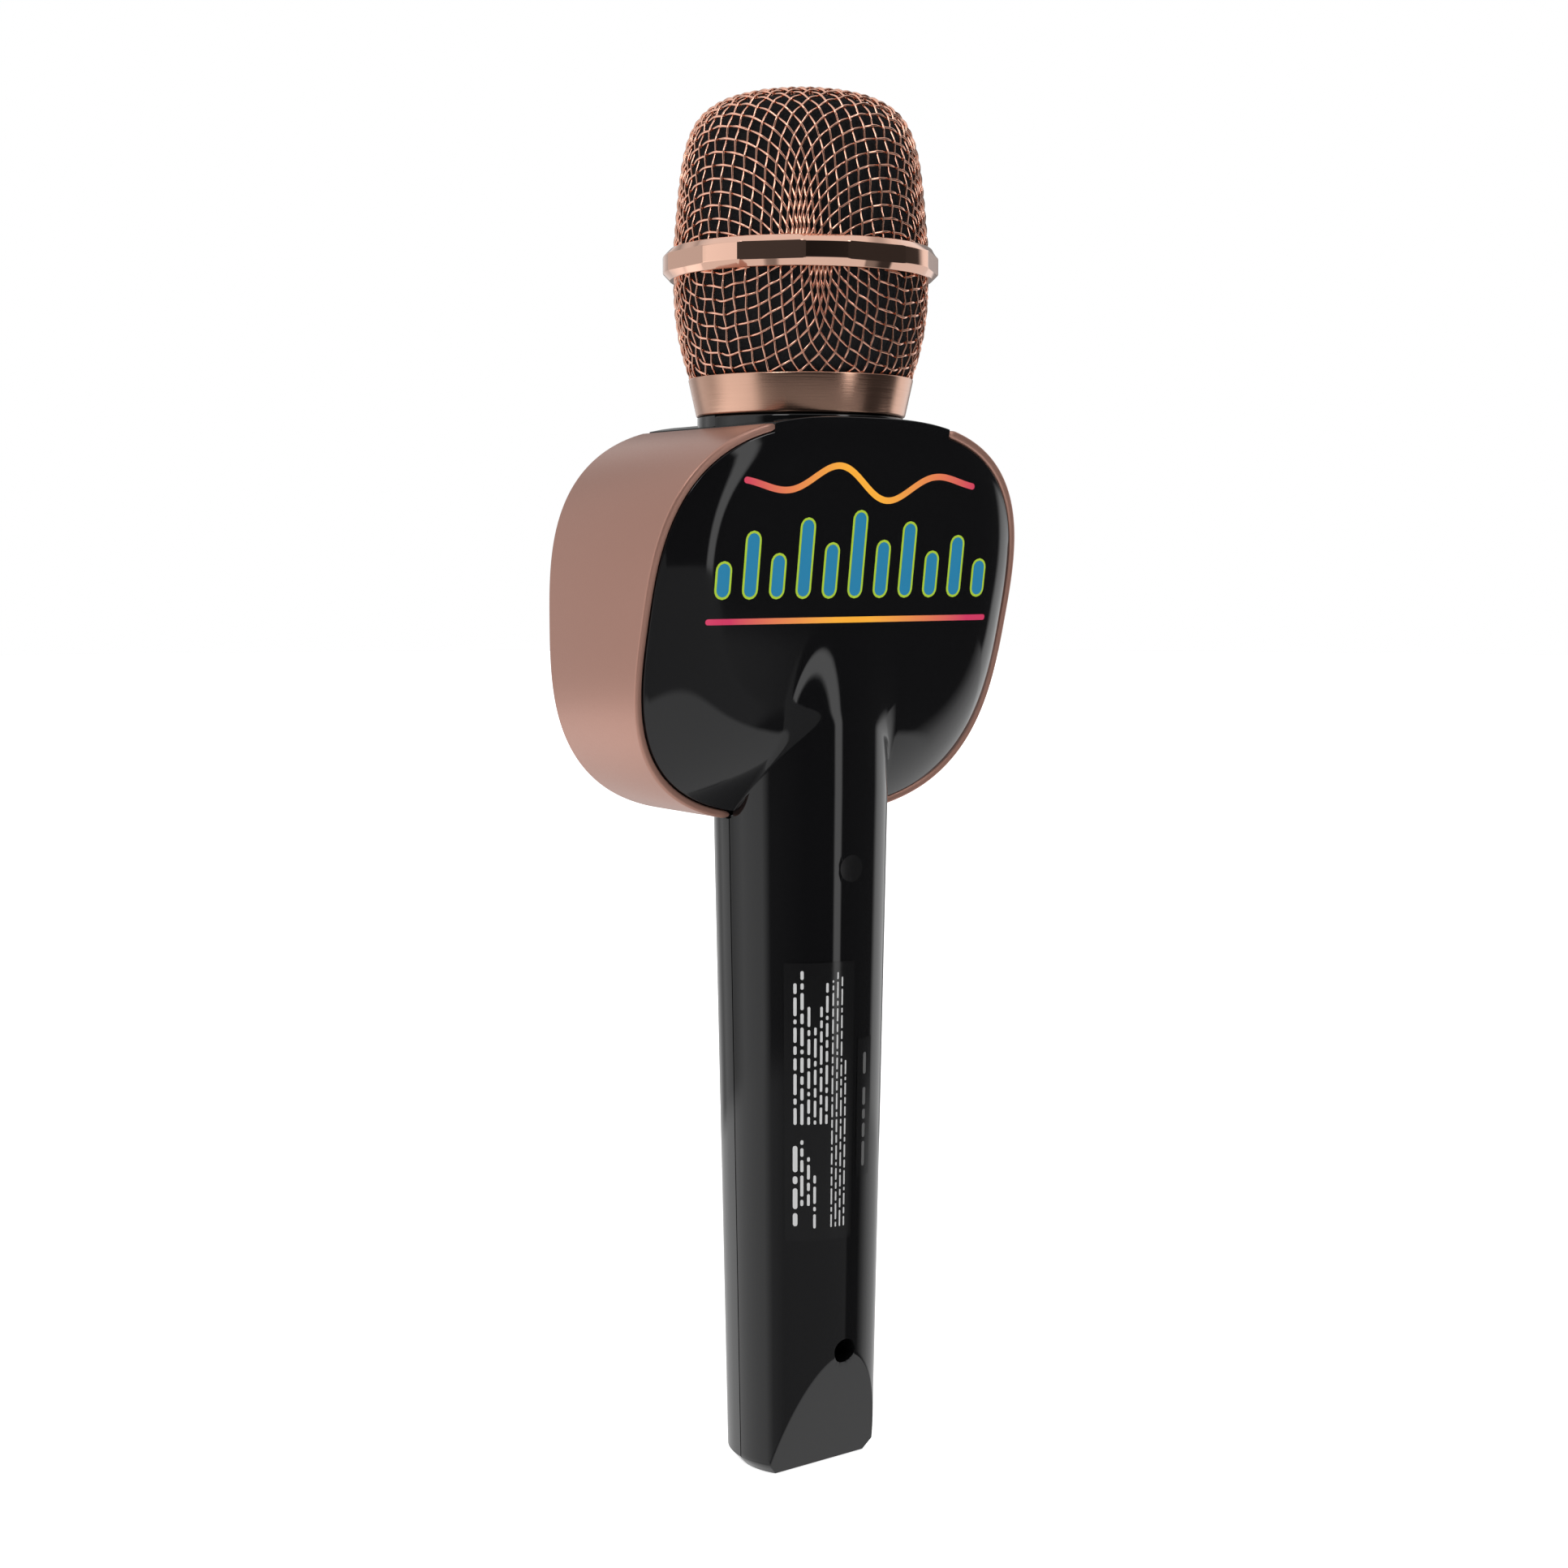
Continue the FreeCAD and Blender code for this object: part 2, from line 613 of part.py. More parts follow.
def neck_thread_insert():
    """Threaded tube with a flange that the two shells trap, and a floor that holds the capsule."""
    flange = "groove_radius - 0.2"
    low, high = "groove_bottom + 0.1", "groove_bottom + groove_height - 0.1"
    foot = "neck_foot - 2"
    corners = [("insert_bore", foot), ("thread_root", foot), ("thread_root", low), (flange, low),
               (flange, high), ("thread_root", high)]
    for index in range(3):
        start = f"collar_bottom + 0.6 + {index} * thread_pitch"
        corners += [("thread_root", start), ("thread_crest", f"{start} + 0.6"),
                    ("thread_crest", f"{start} + 0.9"), ("thread_root", f"{start} + 1.5")]
    corners += [("thread_root", "collar_top"), ("holder_radius + 0.1", "collar_top"),
                ("holder_radius + 0.1", "collar_top - 2"), ("insert_bore", "collar_top - 2")]
    return node(turned("neck_thread_insert", corners), "neck_thread_insert")


def capsule_parts():
    """Post, rubber cradle, capsule and its front grille, all inside the head."""
    node(turned("capsule_holder", [
        ("holder_bore", "neck_foot + 6"), ("holder_radius", "neck_foot + 6"), ("holder_radius", "collar_top + 0.1"),
        ("holder_radius + 2", "collar_top + 0.1"), ("holder_radius + 2", "collar_top + 1.35"),
        ("holder_radius", "collar_top + 1.35"), ("holder_radius", "capsule_foot - 0.2"),
        ("holder_bore", "capsule_foot - 0.2"),
    ]), "capsule_holder")
    node(turned("capsule_cradle", [
        ("holder_radius + 0.1", "capsule_foot - 5.9"), ("holder_radius + 2.2", "capsule_foot - 5.9"),
        ("capsule_radius + 3.4", "capsule_foot - 1.9"), ("capsule_radius + 3.4", "capsule_foot + 7.6"),
        ("capsule_radius + 0.1", "capsule_foot + 7.6"), ("capsule_radius + 0.1", "capsule_foot - 0.1"),
        ("holder_radius + 0.1", "capsule_foot - 0.1"),
    ]), "capsule_cradle")
    node(turned("capsule_body", [
        ("0", "capsule_foot"), ("capsule_radius", "capsule_foot"), ("capsule_radius", "capsule_foot + 13.6"),
        ("capsule_radius - 2", "capsule_foot + 13.6"), ("capsule_radius - 2", "capsule_foot + 15.6"),
        ("0", "capsule_foot + 15.6"),
    ]), "capsule_body")
    cap = turned("capsule_grille", [
        ("capsule_radius - 1.9", "capsule_foot + 13.7"), ("capsule_radius", "capsule_foot + 13.7"),
        ("capsule_radius", "capsule_foot + 17"), ("capsule_radius - 0.6", "capsule_foot + 17.6"),
        ("0", "capsule_foot + 17.6"), ("0", "capsule_foot + 16.7"),
        ("capsule_radius - 1.9", "capsule_foot + 16.7"),
    ])
    spots = [(0, 0)] + [(6 * math.cos(k * math.pi / 3), 6 * math.sin(k * math.pi / 3)) for k in range(6)]
    vents = [cylinder(1.4, 3, (round(x, 3), round(y, 3), "capsule_foot + 16.1")) for x, y in spots]
    node(cut(cap, *vents), "capsule_grille")


def wire(points, radius):
    """Insulated lead along straight runs with rounded corners."""
    points = [FreeCAD.Vector(*point) for point in points]
    shape = None
    for start, end in zip(points, points[1:]):
        run = Part.makeCylinder(radius, start.distanceToPoint(end), start, end - start)
        shape = run if shape is None else shape.fuse(run)
    for point in points[1:-1]:
        shape = shape.fuse(Part.makeSphere(radius, point))
    return shape.Solids[0]


# ---------------------------------------------------------------- loudspeaker, depths behind its seat

def speaker_at():
    """Centre of the speaker's seat on the inside of the front shell's face."""
    return (0, "-shell_front + front_wall", "speaker_height")


def speaker_piece(label, corners):
    """Turned piece of the speaker; corners are (radius, depth behind the seat)."""
    return node(turned(label, corners, speaker_at(), TO_REAR), label)


def speaker_frame():
    """Pressed basket with four screw ears and four windows."""
    basket = turned("speaker_frame", [
        ("25.8", "2"), ("28.8", "2"), ("28.8", "2.8"), ("26.8", "2.8"), ("24.8", "9"), ("17.8", "16"),
        ("17.8", "16.8"), ("9", "16.8"), ("9", "16"), ("17.1", "16"), ("24", "8.8"), ("25.8", "2.9"),
    ], speaker_at(), TO_REAR)
    seat = "-shell_front + front_wall"
    ears = [cylinder(3.4, 0.8, (x, f"{seat} + 2", z), TO_REAR) for x, z in speaker_ears()]
    clear = cylinder(28.3, 3, (0, f"{seat} + 1", "speaker_height"), TO_REAR)
    holes = [cylinder(1.3, 3, (x, f"{seat} + 1", z), TO_REAR) for x, z in speaker_ears()]
    depth = (f"{seat} + 4.5", f"{seat} + 14")
    windows = [
        box((-8, 8), depth, ("speaker_height - 30", "speaker_height + 30")),
        box((-30, 30), depth, ("speaker_height - 8", "speaker_height + 8")),
    ]
    frame = fuse(basket, cut(fuse(*ears), clear))
    return node(cut(frame, *holes, *windows), "speaker_frame")


def speaker_surround():
    """Half-round rubber roll between the basket and the cone."""
    edges = [
        line((20.8, 0.9), (21.4, 0.9)), arc((21.4, 0.9), (23.5, -0.75), (25.6, 0.9)),
        line((25.6, 0.9), (26.4, 0.9)), line((26.4, 0.9), (26.4, 1.9)), line((26.4, 1.9), (25.9, 1.9)),
        line((25.9, 1.9), (25.2, 1.4)), arc((25.2, 1.4), (23.5, -0.25), (21.8, 1.4)),
        line((21.8, 1.4), (20.8, 1.4)), line((20.8, 1.4), (20.8, 0.9)),
    ]
    item = solid(lathe(edges))
    return node(bind(item, speaker_at(), TO_REAR), "speaker_surround")


def dust_cap():
    """Dome over the centre of the cone."""
    crest, outer, inner = 6.4, 14.8, 14.3

    def on_dome(radius, ball):
        return (radius, crest + outer - math.sqrt(ball ** 2 - radius ** 2))

    edges = [
        arc(on_dome(8.8, outer), on_dome(4.6, outer), on_dome(0, outer)),
        line(on_dome(0, outer), on_dome(0, inner)),
        arc(on_dome(0, inner), on_dome(4.4, inner), on_dome(8.3, inner)),
        line(on_dome(8.3, inner), on_dome(8.8, outer)),
    ]
    item = solid(lathe(edges))
    return node(bind(item, speaker_at(), TO_REAR), "dust_cap")


def speaker_spider():
    """Corrugated disc that centres the voice coil."""
    front = [(radius, 12.0 + (0.9 if index % 2 else 0.0)) for index, radius in enumerate(range(9, 20, 2))]
    corners = [("8.2", "12")] + [(str(r), str(d)) for r, d in front] + [("20", "12")]
    corners += [("20", "12.4")] + [(str(r), str(d + 0.4)) for r, d in reversed(front)] + [("8.2", "12.4")]
    return speaker_piece("speaker_spider", corners)


def speaker_parts():
    """Motor, moving parts and fixings of the loudspeaker."""
    speaker_piece("speaker_gasket", [("speaker_opening", "0.05"), ("28.8", "0.05"), ("28.8", "1.95"),
                                     ("speaker_opening", "1.95")])
    speaker_frame()
    speaker_surround()
    speaker_piece("speaker_cone", [("8.1", "10"), ("20.7", "1.5"), ("21.4", "1.5"), ("21.4", "2"),
                                   ("20.9", "2.1"), ("8.1", "10.8")])
    dust_cap()
    speaker_piece("voice_coil", [("7.7", "9.9"), ("8", "9.9"), ("8", "19.5"), ("7.7", "19.5")])
    speaker_spider()
    speaker_piece("speaker_top_plate", [("8.6", "16.9"), ("16", "16.9"), ("16", "18.9"), ("8.6", "18.9")])
    speaker_piece("speaker_magnet", [("9.5", "18.95"), ("15.5", "18.95"), ("15.5", "24.9"), ("9.5", "24.9")])
    speaker_piece("speaker_yoke", [("0", "17"), ("7.1", "17"), ("7.1", "24.95"), ("15.5", "24.95"),
                                   ("15.5", "27.4"), ("0", "27.4")])
    seat = "-shell_front + front_wall"
    node(box((-6.5, 6.5), (f"{seat} + 2.85", f"{seat} + 4.2"), ("speaker_height - 30", "speaker_height - 27")),
         "speaker_terminals")
    screws = []
    for x, z in speaker_ears():
        head = cylinder(2.1, 1.2, (x, f"{seat} + 2.85", z), TO_REAR)
        shank = cylinder(0.95, 4, (x, f"{seat} - 1.1", z), TO_REAR)
        screws.append(fuse(head, shank))
    node(group(*screws), "speaker_screws")
    top = (size("speaker_height") - 30.2, -15.2)
    leads = [solid(wire([(x, top[1], top[0]), (x, -6.4, size("board_top") + 0.5)], 0.6)) for x in (-5, 5)]
    node(group(*leads), "speaker_leads")


def hexagon(x, z, radius, front, depth):
    """Six-sided prism along Y."""
    points = [FreeCAD.Vector(x + radius * math.cos(k * math.pi / 3), front, z + radius * math.sin(k * math.pi / 3))
              for k in range(7)]
    return Part.Face(Part.makePolygon(points)).extrude(FreeCAD.Vector(0, depth, 0))


def speaker_grille():
    """Perforated disc in the front shell's step, its holes in a close-packed pattern."""
    pitch = 2.9
    radius = 1.12
    front = -size("shell_front") + 0.05
    centre = size("speaker_height")
    disc = Part.makeCylinder(size("grille_radius"), size("grille_sheet"),
                             FreeCAD.Vector(0, front, centre), FreeCAD.Vector(0, 1, 0))
    holes = []
    for row in range(-10, 11):
        for column in range(-10, 11):
            x = pitch * (column + 0.5 * (row % 2))
            z = pitch * row * math.sqrt(3) / 2
            if math.hypot(x, z) < size("speaker_opening") - radius - 0.4:
                holes.append(hexagon(x, centre + z, radius, front - 1, 3))
    return node(solid(disc.cut(Part.makeCompound(holes))), "speaker_grille")


def grille_trim():
    """Bright ring over the grille's edge."""
    corners = [("speaker_opening", "0"), ("trim_radius", "0"), ("trim_radius", "0.9"),
               ("trim_radius - 0.7", "1.5"), ("speaker_opening + 0.7", "1.5"), ("speaker_opening", "0.9")]
    at = (0, "-shell_front - 0.05", "speaker_height")
    return node(turned("grille_trim_ring", corners, at, TO_FRONT), "grille_trim_ring")


# ---------------------------------------------------------------- handle

def control_panel():
    """Oblong plate set into the front of the handle."""
    blank = panel_blank("panel_half", "panel_face", "panel_face - panel_sheet")
    return node(cut(blank, *panel_slots()), "control_panel")


def push_button(label, x, z, radius):
    """Round cap with a flange that stops it behind the panel seat."""
    root = "(floor_inner - 0.9)"
    rise = f"panel_face + cap_proud - {root}"
    corners = [("0", "0"), (f"{radius} + 0.8", "0"), (f"{radius} + 0.8", "0.7"), (f"{radius}", "0.7"),
               (f"{radius}", f"{rise} - 0.4"), (f"{radius} - 0.4", rise), ("0", rise)]
    return node(turned(label, corners, (x, f"-{root}", z), TO_FRONT), label)


def power_slider():
    """Knob, flange behind the panel seat and tongue that drives the switch."""
    knob = box((-1.7, 1.7), ("-panel_face - cap_proud", "-floor_inner + 0.5"),
               ("slider_height - 2.25", "slider_height + 2.25"))
    flange = box((-3.2, 3.2), ("-floor_inner + 0.2", "-floor_inner + 0.8"),
                 ("slider_height - 5.5", "slider_height + 5.5"))
    tongue = box((-0.8, 0.8), ("-floor_inner + 0.5", "-floor_inner + 1.7"),
                 ("slider_height - 1", "slider_height + 1"))
    return node(fuse(knob, flange, tongue), "power_slider")


def switches():
    """Eight push switches and one slide switch on the board's front face."""
    items = []
    for x, z, radius in BUTTONS.values():
        depth = ("-board_face - switch_rise", "-board_face - 0.05")
        case = box((f"{x} - switch_half", f"{x} + switch_half"), depth, (f"{z} - switch_half", f"{z} + switch_half"))
        plunger = cylinder(1.3, 1.2, (x, "-board_face - switch_rise + 0.6", z), TO_FRONT)
        items.append(fuse(case, plunger))
    node(group(*items), "tact_switches")
    span = ("slider_height - 4.5", "slider_height + 7")
    node(box((-2.4, 2.4), ("-board_face - 3", "-board_face - 0.05"), span), "slide_switch")


def board_parts():
    """Main board and what is soldered to it."""
    blank = box(("-board_half", "board_half"), ("-board_face", "-board_face + board_sheet"),
                ("board_bottom", "board_top"))
    hole = cylinder(3.8, 4, (0, -8.5, "low_screw"), TO_REAR)
    node(cut(blank, hole), "main_board")
    back = "-board_face + board_sheet + 0.05"
    node(box((-6, 6), (back, "-board_face + board_sheet + 1.8"), (31, 45)), "bluetooth_module")
    node(box((-3.5, 3.5), (-8.3, "-board_face - 0.05"), (9, 16)), "amplifier_chip")
    leds, pipes = [], []
    for side in (-1, 1):
        x = f"{side} * light_side"
        leds.append(box((f"{x} - 0.9", f"{x} + 0.9"), ("-board_face - 1", "-board_face - 0.05"),
                        ("light_height - 0.9", "light_height + 0.9")))
        foot = (x, "-board_face - 1.1", "light_height")
        pipes.append(cylinder(1.0, "panel_face - board_face - 1", foot, TO_FRONT))
    node(group(*leds), "indicator_leds")
    node(group(*pipes), "status_light_pipes")


def sockets():
    """Charging socket and headphone socket, both open through the bottom end."""
    case = box(("socket_x - 3.1", "socket_x + 3.1"), ("-socket_y - 2.95", "-socket_y + 3"), (2.4, 14))
    nose = cylinder(3.0, 3, ("socket_x", "-socket_y", 0.3))
    bore = cylinder("plug_bore", 12.2, ("socket_x", "-socket_y", 0.2))
    node(cut(fuse(case, nose), bore), "headphone_socket")
    shell = box(("-usb_x - 4.45", "-usb_x + 4.45"), ("-usb_y - 1.55", "-usb_y + 1.6"), (0.5, 8))
    room = box(("-usb_x - 4.1", "-usb_x + 4.1"), ("-usb_y - 1.2", "-usb_y + 1.25"), (0, 7))
    tongue = box(("-usb_x - 3.3", "-usb_x + 3.3"), ("-usb_y - 0.35", "-usb_y + 0.35"), (1, 7.5))
    node(fuse(cut(shell, room), tongue), "usb_socket")


def battery_parts():
    """Rechargeable cell, its adhesive pad and its leads."""
    node(turned("battery_cell", [
        ("0", "0"), ("cell_radius", "0"), ("cell_radius", "cell_length - 1"),
        ("cell_radius - 0.5", "cell_length - 0.6"), ("3.5", "cell_length - 0.6"), ("3.5", "cell_length"),
        ("0", "cell_length"),
    ], (0, "cell_centre", "cell_bottom")), "battery_cell")
    node(box((-4.5, 4.5), ("-board_face + board_sheet + 0.05", "cell_centre - cell_radius - 0.05"), (56, 108)),
         "battery_pad")
    leads = [solid(wire([(x, 1.0, 49.3), (x, -5.2, 47.5)], 0.5)) for x in (-7.5, 7.5)]
    node(group(*leads), "battery_leads")


def handle_screws():
    """Two screws that pull the shells together."""
    screws = []
    for height in ("low_screw", "high_screw"):
        head = cylinder(2.3, 1.6, (0, 4.05, height), TO_REAR)
        shank = cylinder(1.35, 11, (0, 4.5, height), TO_FRONT)
        screws.append(fuse(head, shank))
    return node(group(*screws), "handle_screws")


def sticker(label, low, high, start, sweep):
    """Thin label wrapped round the handle's cone, from one bearing about Z through a sweep, in degrees."""
    skin = [(0.02, low), (0.14, low), (0.14, high), (0.02, high)]
    points = [section_point(size(cone_radius(height)) + lift, height) for lift, height in skin]
    face = Part.Face(Part.makePolygon(points + points[:1]))
    shape = face.revolve(FreeCAD.Vector(), FreeCAD.Vector(0, 0, 1), sweep)
    shape.rotate(FreeCAD.Vector(), FreeCAD.Vector(0, 0, 1), start)
    return node(solid(shape), label)


# ---------------------------------------------------------------- assembly

def build():
    """Make every sub-part."""
    handle = handle_form()
    outside = outer_form(handle)
    inside = inner_form()
    rear_shell(outside, inside, handle)
    front_shell(outside, inside, handle)
    side_band("side_band_left", -1)
    side_band("side_band_right", 1)
    screw_plug(handle)
    upper_basket()
    lower_basket()
    windscreen_foam()
    mesh_ring()
    head_collar()
    neck_thread_insert()
    capsule_parts()
    drop = [(-7, 10.5, 203.5), (-7, 10.5, 136), (-7, -5.0, size("board_top") + 1)]
    node(solid(wire(drop, 0.8)), "capsule_leads")
    speaker_parts()
    speaker_grille()
    grille_trim()
    control_panel()
    for label, (x, z, radius) in BUTTONS.items():
        push_button(label, x, z, radius)
    power_slider()
    switches()
    board_parts()
    sockets()
    battery_parts()
    handle_screws()
    sticker("rating_label", 48.0, 102.5, 43, 50)
    sticker("serial_label", 59.7, 87.0, 97, 14)


def check():
    """Stop if any object failed or any sub-part is empty or unsound."""
    for item in doc.Objects:
        if "Invalid" in item.State or "Error" in item.State:
            raise RuntimeError(f"{item.Name} ({item.Label}) failed: {item.State}")
    for item in NODES:
        if item.Shape.isNull() or not item.Shape.isValid() or not item.Shape.Solids:
            raise RuntimeError(f"{item.Label} has no sound shape")


def write():
    """Write each sub-part to its own file."""
    os.makedirs("parts", exist_ok=True)
    for item in NODES:
        item.Shape.exportStep(f"parts/{item.Label}.step")
        print(f"{item.Label}: {len(item.Shape.Solids)} solid(s), {item.Shape.Volume:.1f} mm3")


build()
doc.recompute()
check()
write()
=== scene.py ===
"""Looks of the karaoke microphone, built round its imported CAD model, in metres and in the CAD frame.

+Z runs up the handle, the speaker and the controls face -Y and the plain rear cover faces +Y. Forms are
worked out in millimetres, as in the CAD model, and scaled once when a mesh is made.
"""
import math

import bmesh
import bpy
import numpy as np
from mathutils import Matrix, Vector


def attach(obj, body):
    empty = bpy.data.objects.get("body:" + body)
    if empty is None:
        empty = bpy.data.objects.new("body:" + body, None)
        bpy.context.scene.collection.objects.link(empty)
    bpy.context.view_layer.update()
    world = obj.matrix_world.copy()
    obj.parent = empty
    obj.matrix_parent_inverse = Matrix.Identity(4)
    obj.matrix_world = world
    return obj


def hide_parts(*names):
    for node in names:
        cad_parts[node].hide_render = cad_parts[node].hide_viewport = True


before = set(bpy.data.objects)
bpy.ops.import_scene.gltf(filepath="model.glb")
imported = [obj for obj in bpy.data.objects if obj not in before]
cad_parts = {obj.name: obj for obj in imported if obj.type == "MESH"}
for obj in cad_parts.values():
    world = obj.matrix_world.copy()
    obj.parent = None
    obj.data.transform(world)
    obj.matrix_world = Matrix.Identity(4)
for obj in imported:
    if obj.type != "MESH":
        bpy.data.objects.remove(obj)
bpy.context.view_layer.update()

MM = 0.001
BODY = "microphone_body"
HEAD = "head"

# forms shared with the CAD model, in millimetres
BASE_RADIUS = 14.5
TAPER = 0.0192
CHAMFER_RISE = 2.2
CHAMFER_RUN = 1.9
FACET_START = 6.6
FACET_SLOPE = 0.34
TOP_RADIUS = 17.08
RIDGE_START = 150.0
RIDGE_DROP = 0.0085
OUTLINE_WIDTH = 43.15
OUTLINE_RISE = 38.4
OUTLINE_CENTRE = 166.85
OUTLINE_POWER = 2.9
FRONT_PLANE = 22.8
SHELL_INSET = 1.6
BAND_WALL = 1.5
BAND_TOP_START = 20.5
BAND_LOW_START = 17.7
NECK_RADIUS = 19.9
NECK_TOP = 205.8
COLLAR = (205.95, 213.25, 20.06, 21.66)
HEAD_BORE = 17.8
RING_BOTTOM = 231.8
RING_TOP = 237.5
RING_RADIUS = 26.4
RING_FACET = 25.62
RING_CHAMFER = 1.35
RING_TURN = -3.0
SEAM_DEPTH = 0.35
LOW_SCREW = 25.0
HIGH_SCREW = 120.3
OPEN_WELL = 2.45
PLUG_SEAT = 2.72


# ---------------------------------------------------------------- mesh helpers

def link(name, mesh):
    """Object for a mesh, in the scene."""
    item = bpy.data.objects.new(name, mesh)
    bpy.context.scene.collection.objects.link(item)
    return item


def make(name, points, faces, sharp=40.0, merge=0.004):
    """Smooth-shaded object from points in millimetres; edges sharper than an angle in degrees stay crisp."""
    mesh = bpy.data.meshes.new(name)
    mesh.from_pydata([tuple(np.asarray(point) * MM) for point in points], [], [tuple(face) for face in faces])
    tidy = bmesh.new()
    tidy.from_mesh(mesh)
    bmesh.ops.remove_doubles(tidy, verts=tidy.verts, dist=merge * MM)
    bmesh.ops.dissolve_degenerate(tidy, edges=tidy.edges, dist=1e-7)
    bmesh.ops.recalc_face_normals(tidy, faces=tidy.faces)
    tidy.to_mesh(mesh)
    tidy.free()
    item = link(name, mesh)
    shade(item, sharp)
    return item


def shade(item, sharp):
    """Smooth shading with crisp edges above an angle in degrees."""
    item.data.shade_smooth()
    item.data.set_sharp_from_angle(angle=math.radians(sharp))


def grid_faces(rows, columns, start=0, closed=False):
    """Quads over a grid of points stored row by row."""
    faces = []
    spans = columns if closed else columns - 1
    for row in range(rows - 1):
        for column in range(spans):
            after = (column + 1) % columns
            low = start + row * columns
            faces.append((low + column, low + after, low + columns + after, low + columns + column))
    return faces


class Patches:
    """Collects grids of points into one mesh."""

    def __init__(self):
        self.points = []
        self.faces = []

    def add(self, grid, closed=False):
        """Add a grid given as rows of points."""
        rows, columns = len(grid), len(grid[0])
        self.faces += grid_faces(rows, columns, len(self.points), closed)
        for row in grid:
            self.points += [tuple(point) for point in row]

    def object(self, name, sharp=40.0):
        """The whole mesh as one object."""
        return make(name, self.points, self.faces, sharp)


def rounded(corners, radius, steps=4):
    """Closed outline with each corner replaced by a small arc."""
    result = []
    total = len(corners)
    for index in range(total):
        before, here, after = (np.array(corners[(index + shift) % total], float) for shift in (-1, 0, 1))
        back, ahead = before - here, after - here
        reach = min(radius, 0.45 * np.linalg.norm(back), 0.45 * np.linalg.norm(ahead))
        start = here + back / np.linalg.norm(back) * reach
        end = here + ahead / np.linalg.norm(ahead) * reach
        for step in range(steps + 1):
            share = step / steps
            result.append((1 - share) ** 2 * start + 2 * share * (1 - share) * here + share ** 2 * end)
    return result


def lathe(name, outline, segments=160, sharp=40.0):
    """Solid turned about Z from a closed outline of (radius, height) points."""
    grid = []
    for step in range(segments):
        angle = 2 * math.pi * step / segments
        grid.append([(r * math.cos(angle), r * math.sin(angle), z) for r, z in outline])
    patches = Patches()
    columns = len(outline)
    patches.points = [point for row in grid for point in row]
    for row in range(segments):
        for column in range(columns):
            nxt, over = (row + 1) % segments, (column + 1) % columns
            patches.faces.append((row * columns + column, nxt * columns + column,
                                  nxt * columns + over, row * columns + over))
    return patches.object(name, sharp)


def sink_well(item, height, radius, floor):
    """Open a round well in a skin from behind, at a height on its centre line, down to a floor's depth."""
    work = bmesh.new()
    work.from_mesh(item.data)
    centre = Vector((0, height)) * MM

    def away(vertex):
        return (Vector((vertex.co.x, vertex.co.z)) - centre).length

    inside = [vertex for vertex in work.verts if vertex.co.y > 0.005 and away(vertex) < radius * MM]
    bmesh.ops.delete(work, geom=inside, context="VERTS")
    near = 1.6 * radius * MM
    rim = [edge for edge in work.edges if edge.is_boundary and all(
        vertex.co.y > 0.005 and away(vertex) < near for vertex in edge.verts)]
    for vertex in {vertex for edge in rim for vertex in edge.verts}:
        out = Vector((vertex.co.x, vertex.co.z)) - centre
        spot = centre + out.normalized() * radius * MM
        vertex.co.x, vertex.co.z = spot
    sides = bmesh.ops.extrude_edge_only(work, edges=rim)["geom"]
    for vertex in [part for part in sides if isinstance(part, bmesh.types.BMVert)]:
        vertex.co.y = floor * MM
    ends = [part for part in sides if isinstance(part, bmesh.types.BMEdge) and part.is_boundary]
    bmesh.ops.holes_fill(work, edges=ends, sides=0)
    work.to_mesh(item.data)
    work.free()


def join(name, *items):
    """One object from several."""
    work = bmesh.new()
    for item in items:
        work.from_mesh(item.data)
        bpy.data.objects.remove(item)
    mesh = bpy.data.meshes.new(name)
    work.to_mesh(mesh)
    work.free()
    return link(name, mesh)


def finish_piece(item, body, material, nodes=()):
    """Set a piece's body, slot, material and the CAD nodes it stands for."""
    item.data.materials.clear()
    item.data.materials.append(material)
    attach(item, body)
    if nodes:
        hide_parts(*nodes)
    return item


# ---------------------------------------------------------------- forms of the housing and handle

def cone_radius(z):
    """Handle radius at a height."""
    return BASE_RADIUS + TAPER * z


def nose_radius(z):
    """Handle radius at a height, which sinks away where the handle runs over the rear face."""
    return min(cone_radius(z), TOP_RADIUS) - RIDGE_DROP * max(z - RIDGE_START, 0.0) ** 2


def lip_y(z):
    """Rear edge of the bands at a height."""
    return 11.74 + 0.261 * (z - 170.0)


def plane_y(z):
    """Flat rear face at a height."""
    return 16.6 + 0.14 * (z - 168.0)


def outline_point(angle, inset):
    """Point (x, z) of the housing outline moved in by an inset; angle 0 points to +X."""
    power = 2 / OUTLINE_POWER
    x = math.copysign(abs(math.cos(angle)) ** power, math.cos(angle)) * (OUTLINE_WIDTH - inset)
    z = math.copysign(abs(math.sin(angle)) ** power, math.sin(angle)) * (OUTLINE_RISE - inset)
    return x, OUTLINE_CENTRE + z


def crown_y(x, z, inset=SHELL_INSET):
    """Rear face with its rounded border, without the handle."""
    across = (abs(x) / (OUTLINE_WIDTH - inset)) ** OUTLINE_POWER
    up = (abs(z - OUTLINE_CENTRE) / (OUTLINE_RISE - inset)) ** OUTLINE_POWER
    share = min((across + up) ** (1 / OUTLINE_POWER), 1.0)
    rise = math.copysign(math.sqrt(up / max(across + up, 1e-9)), z - OUTLINE_CENTRE)
    flat = 0.70 + (0.15 if rise > 0 else 0.28) * rise
    inward = min((1 - share) / (1 - flat), 1.0)
    power = 2.3 - (0.6 * rise ** 2 if rise < 0 else 0.1 * rise)
    lift = 1 - (1 - inward) ** power
    return lip_y(z) + lift * (plane_y(z) - lip_y(z))


def smooth_step(value, low, high):
    """0 below a range, 1 above it and a smooth rise between."""
    share = min(max((value - low) / (high - low), 0.0), 1.0)
    return share * share * (3 - 2 * share)


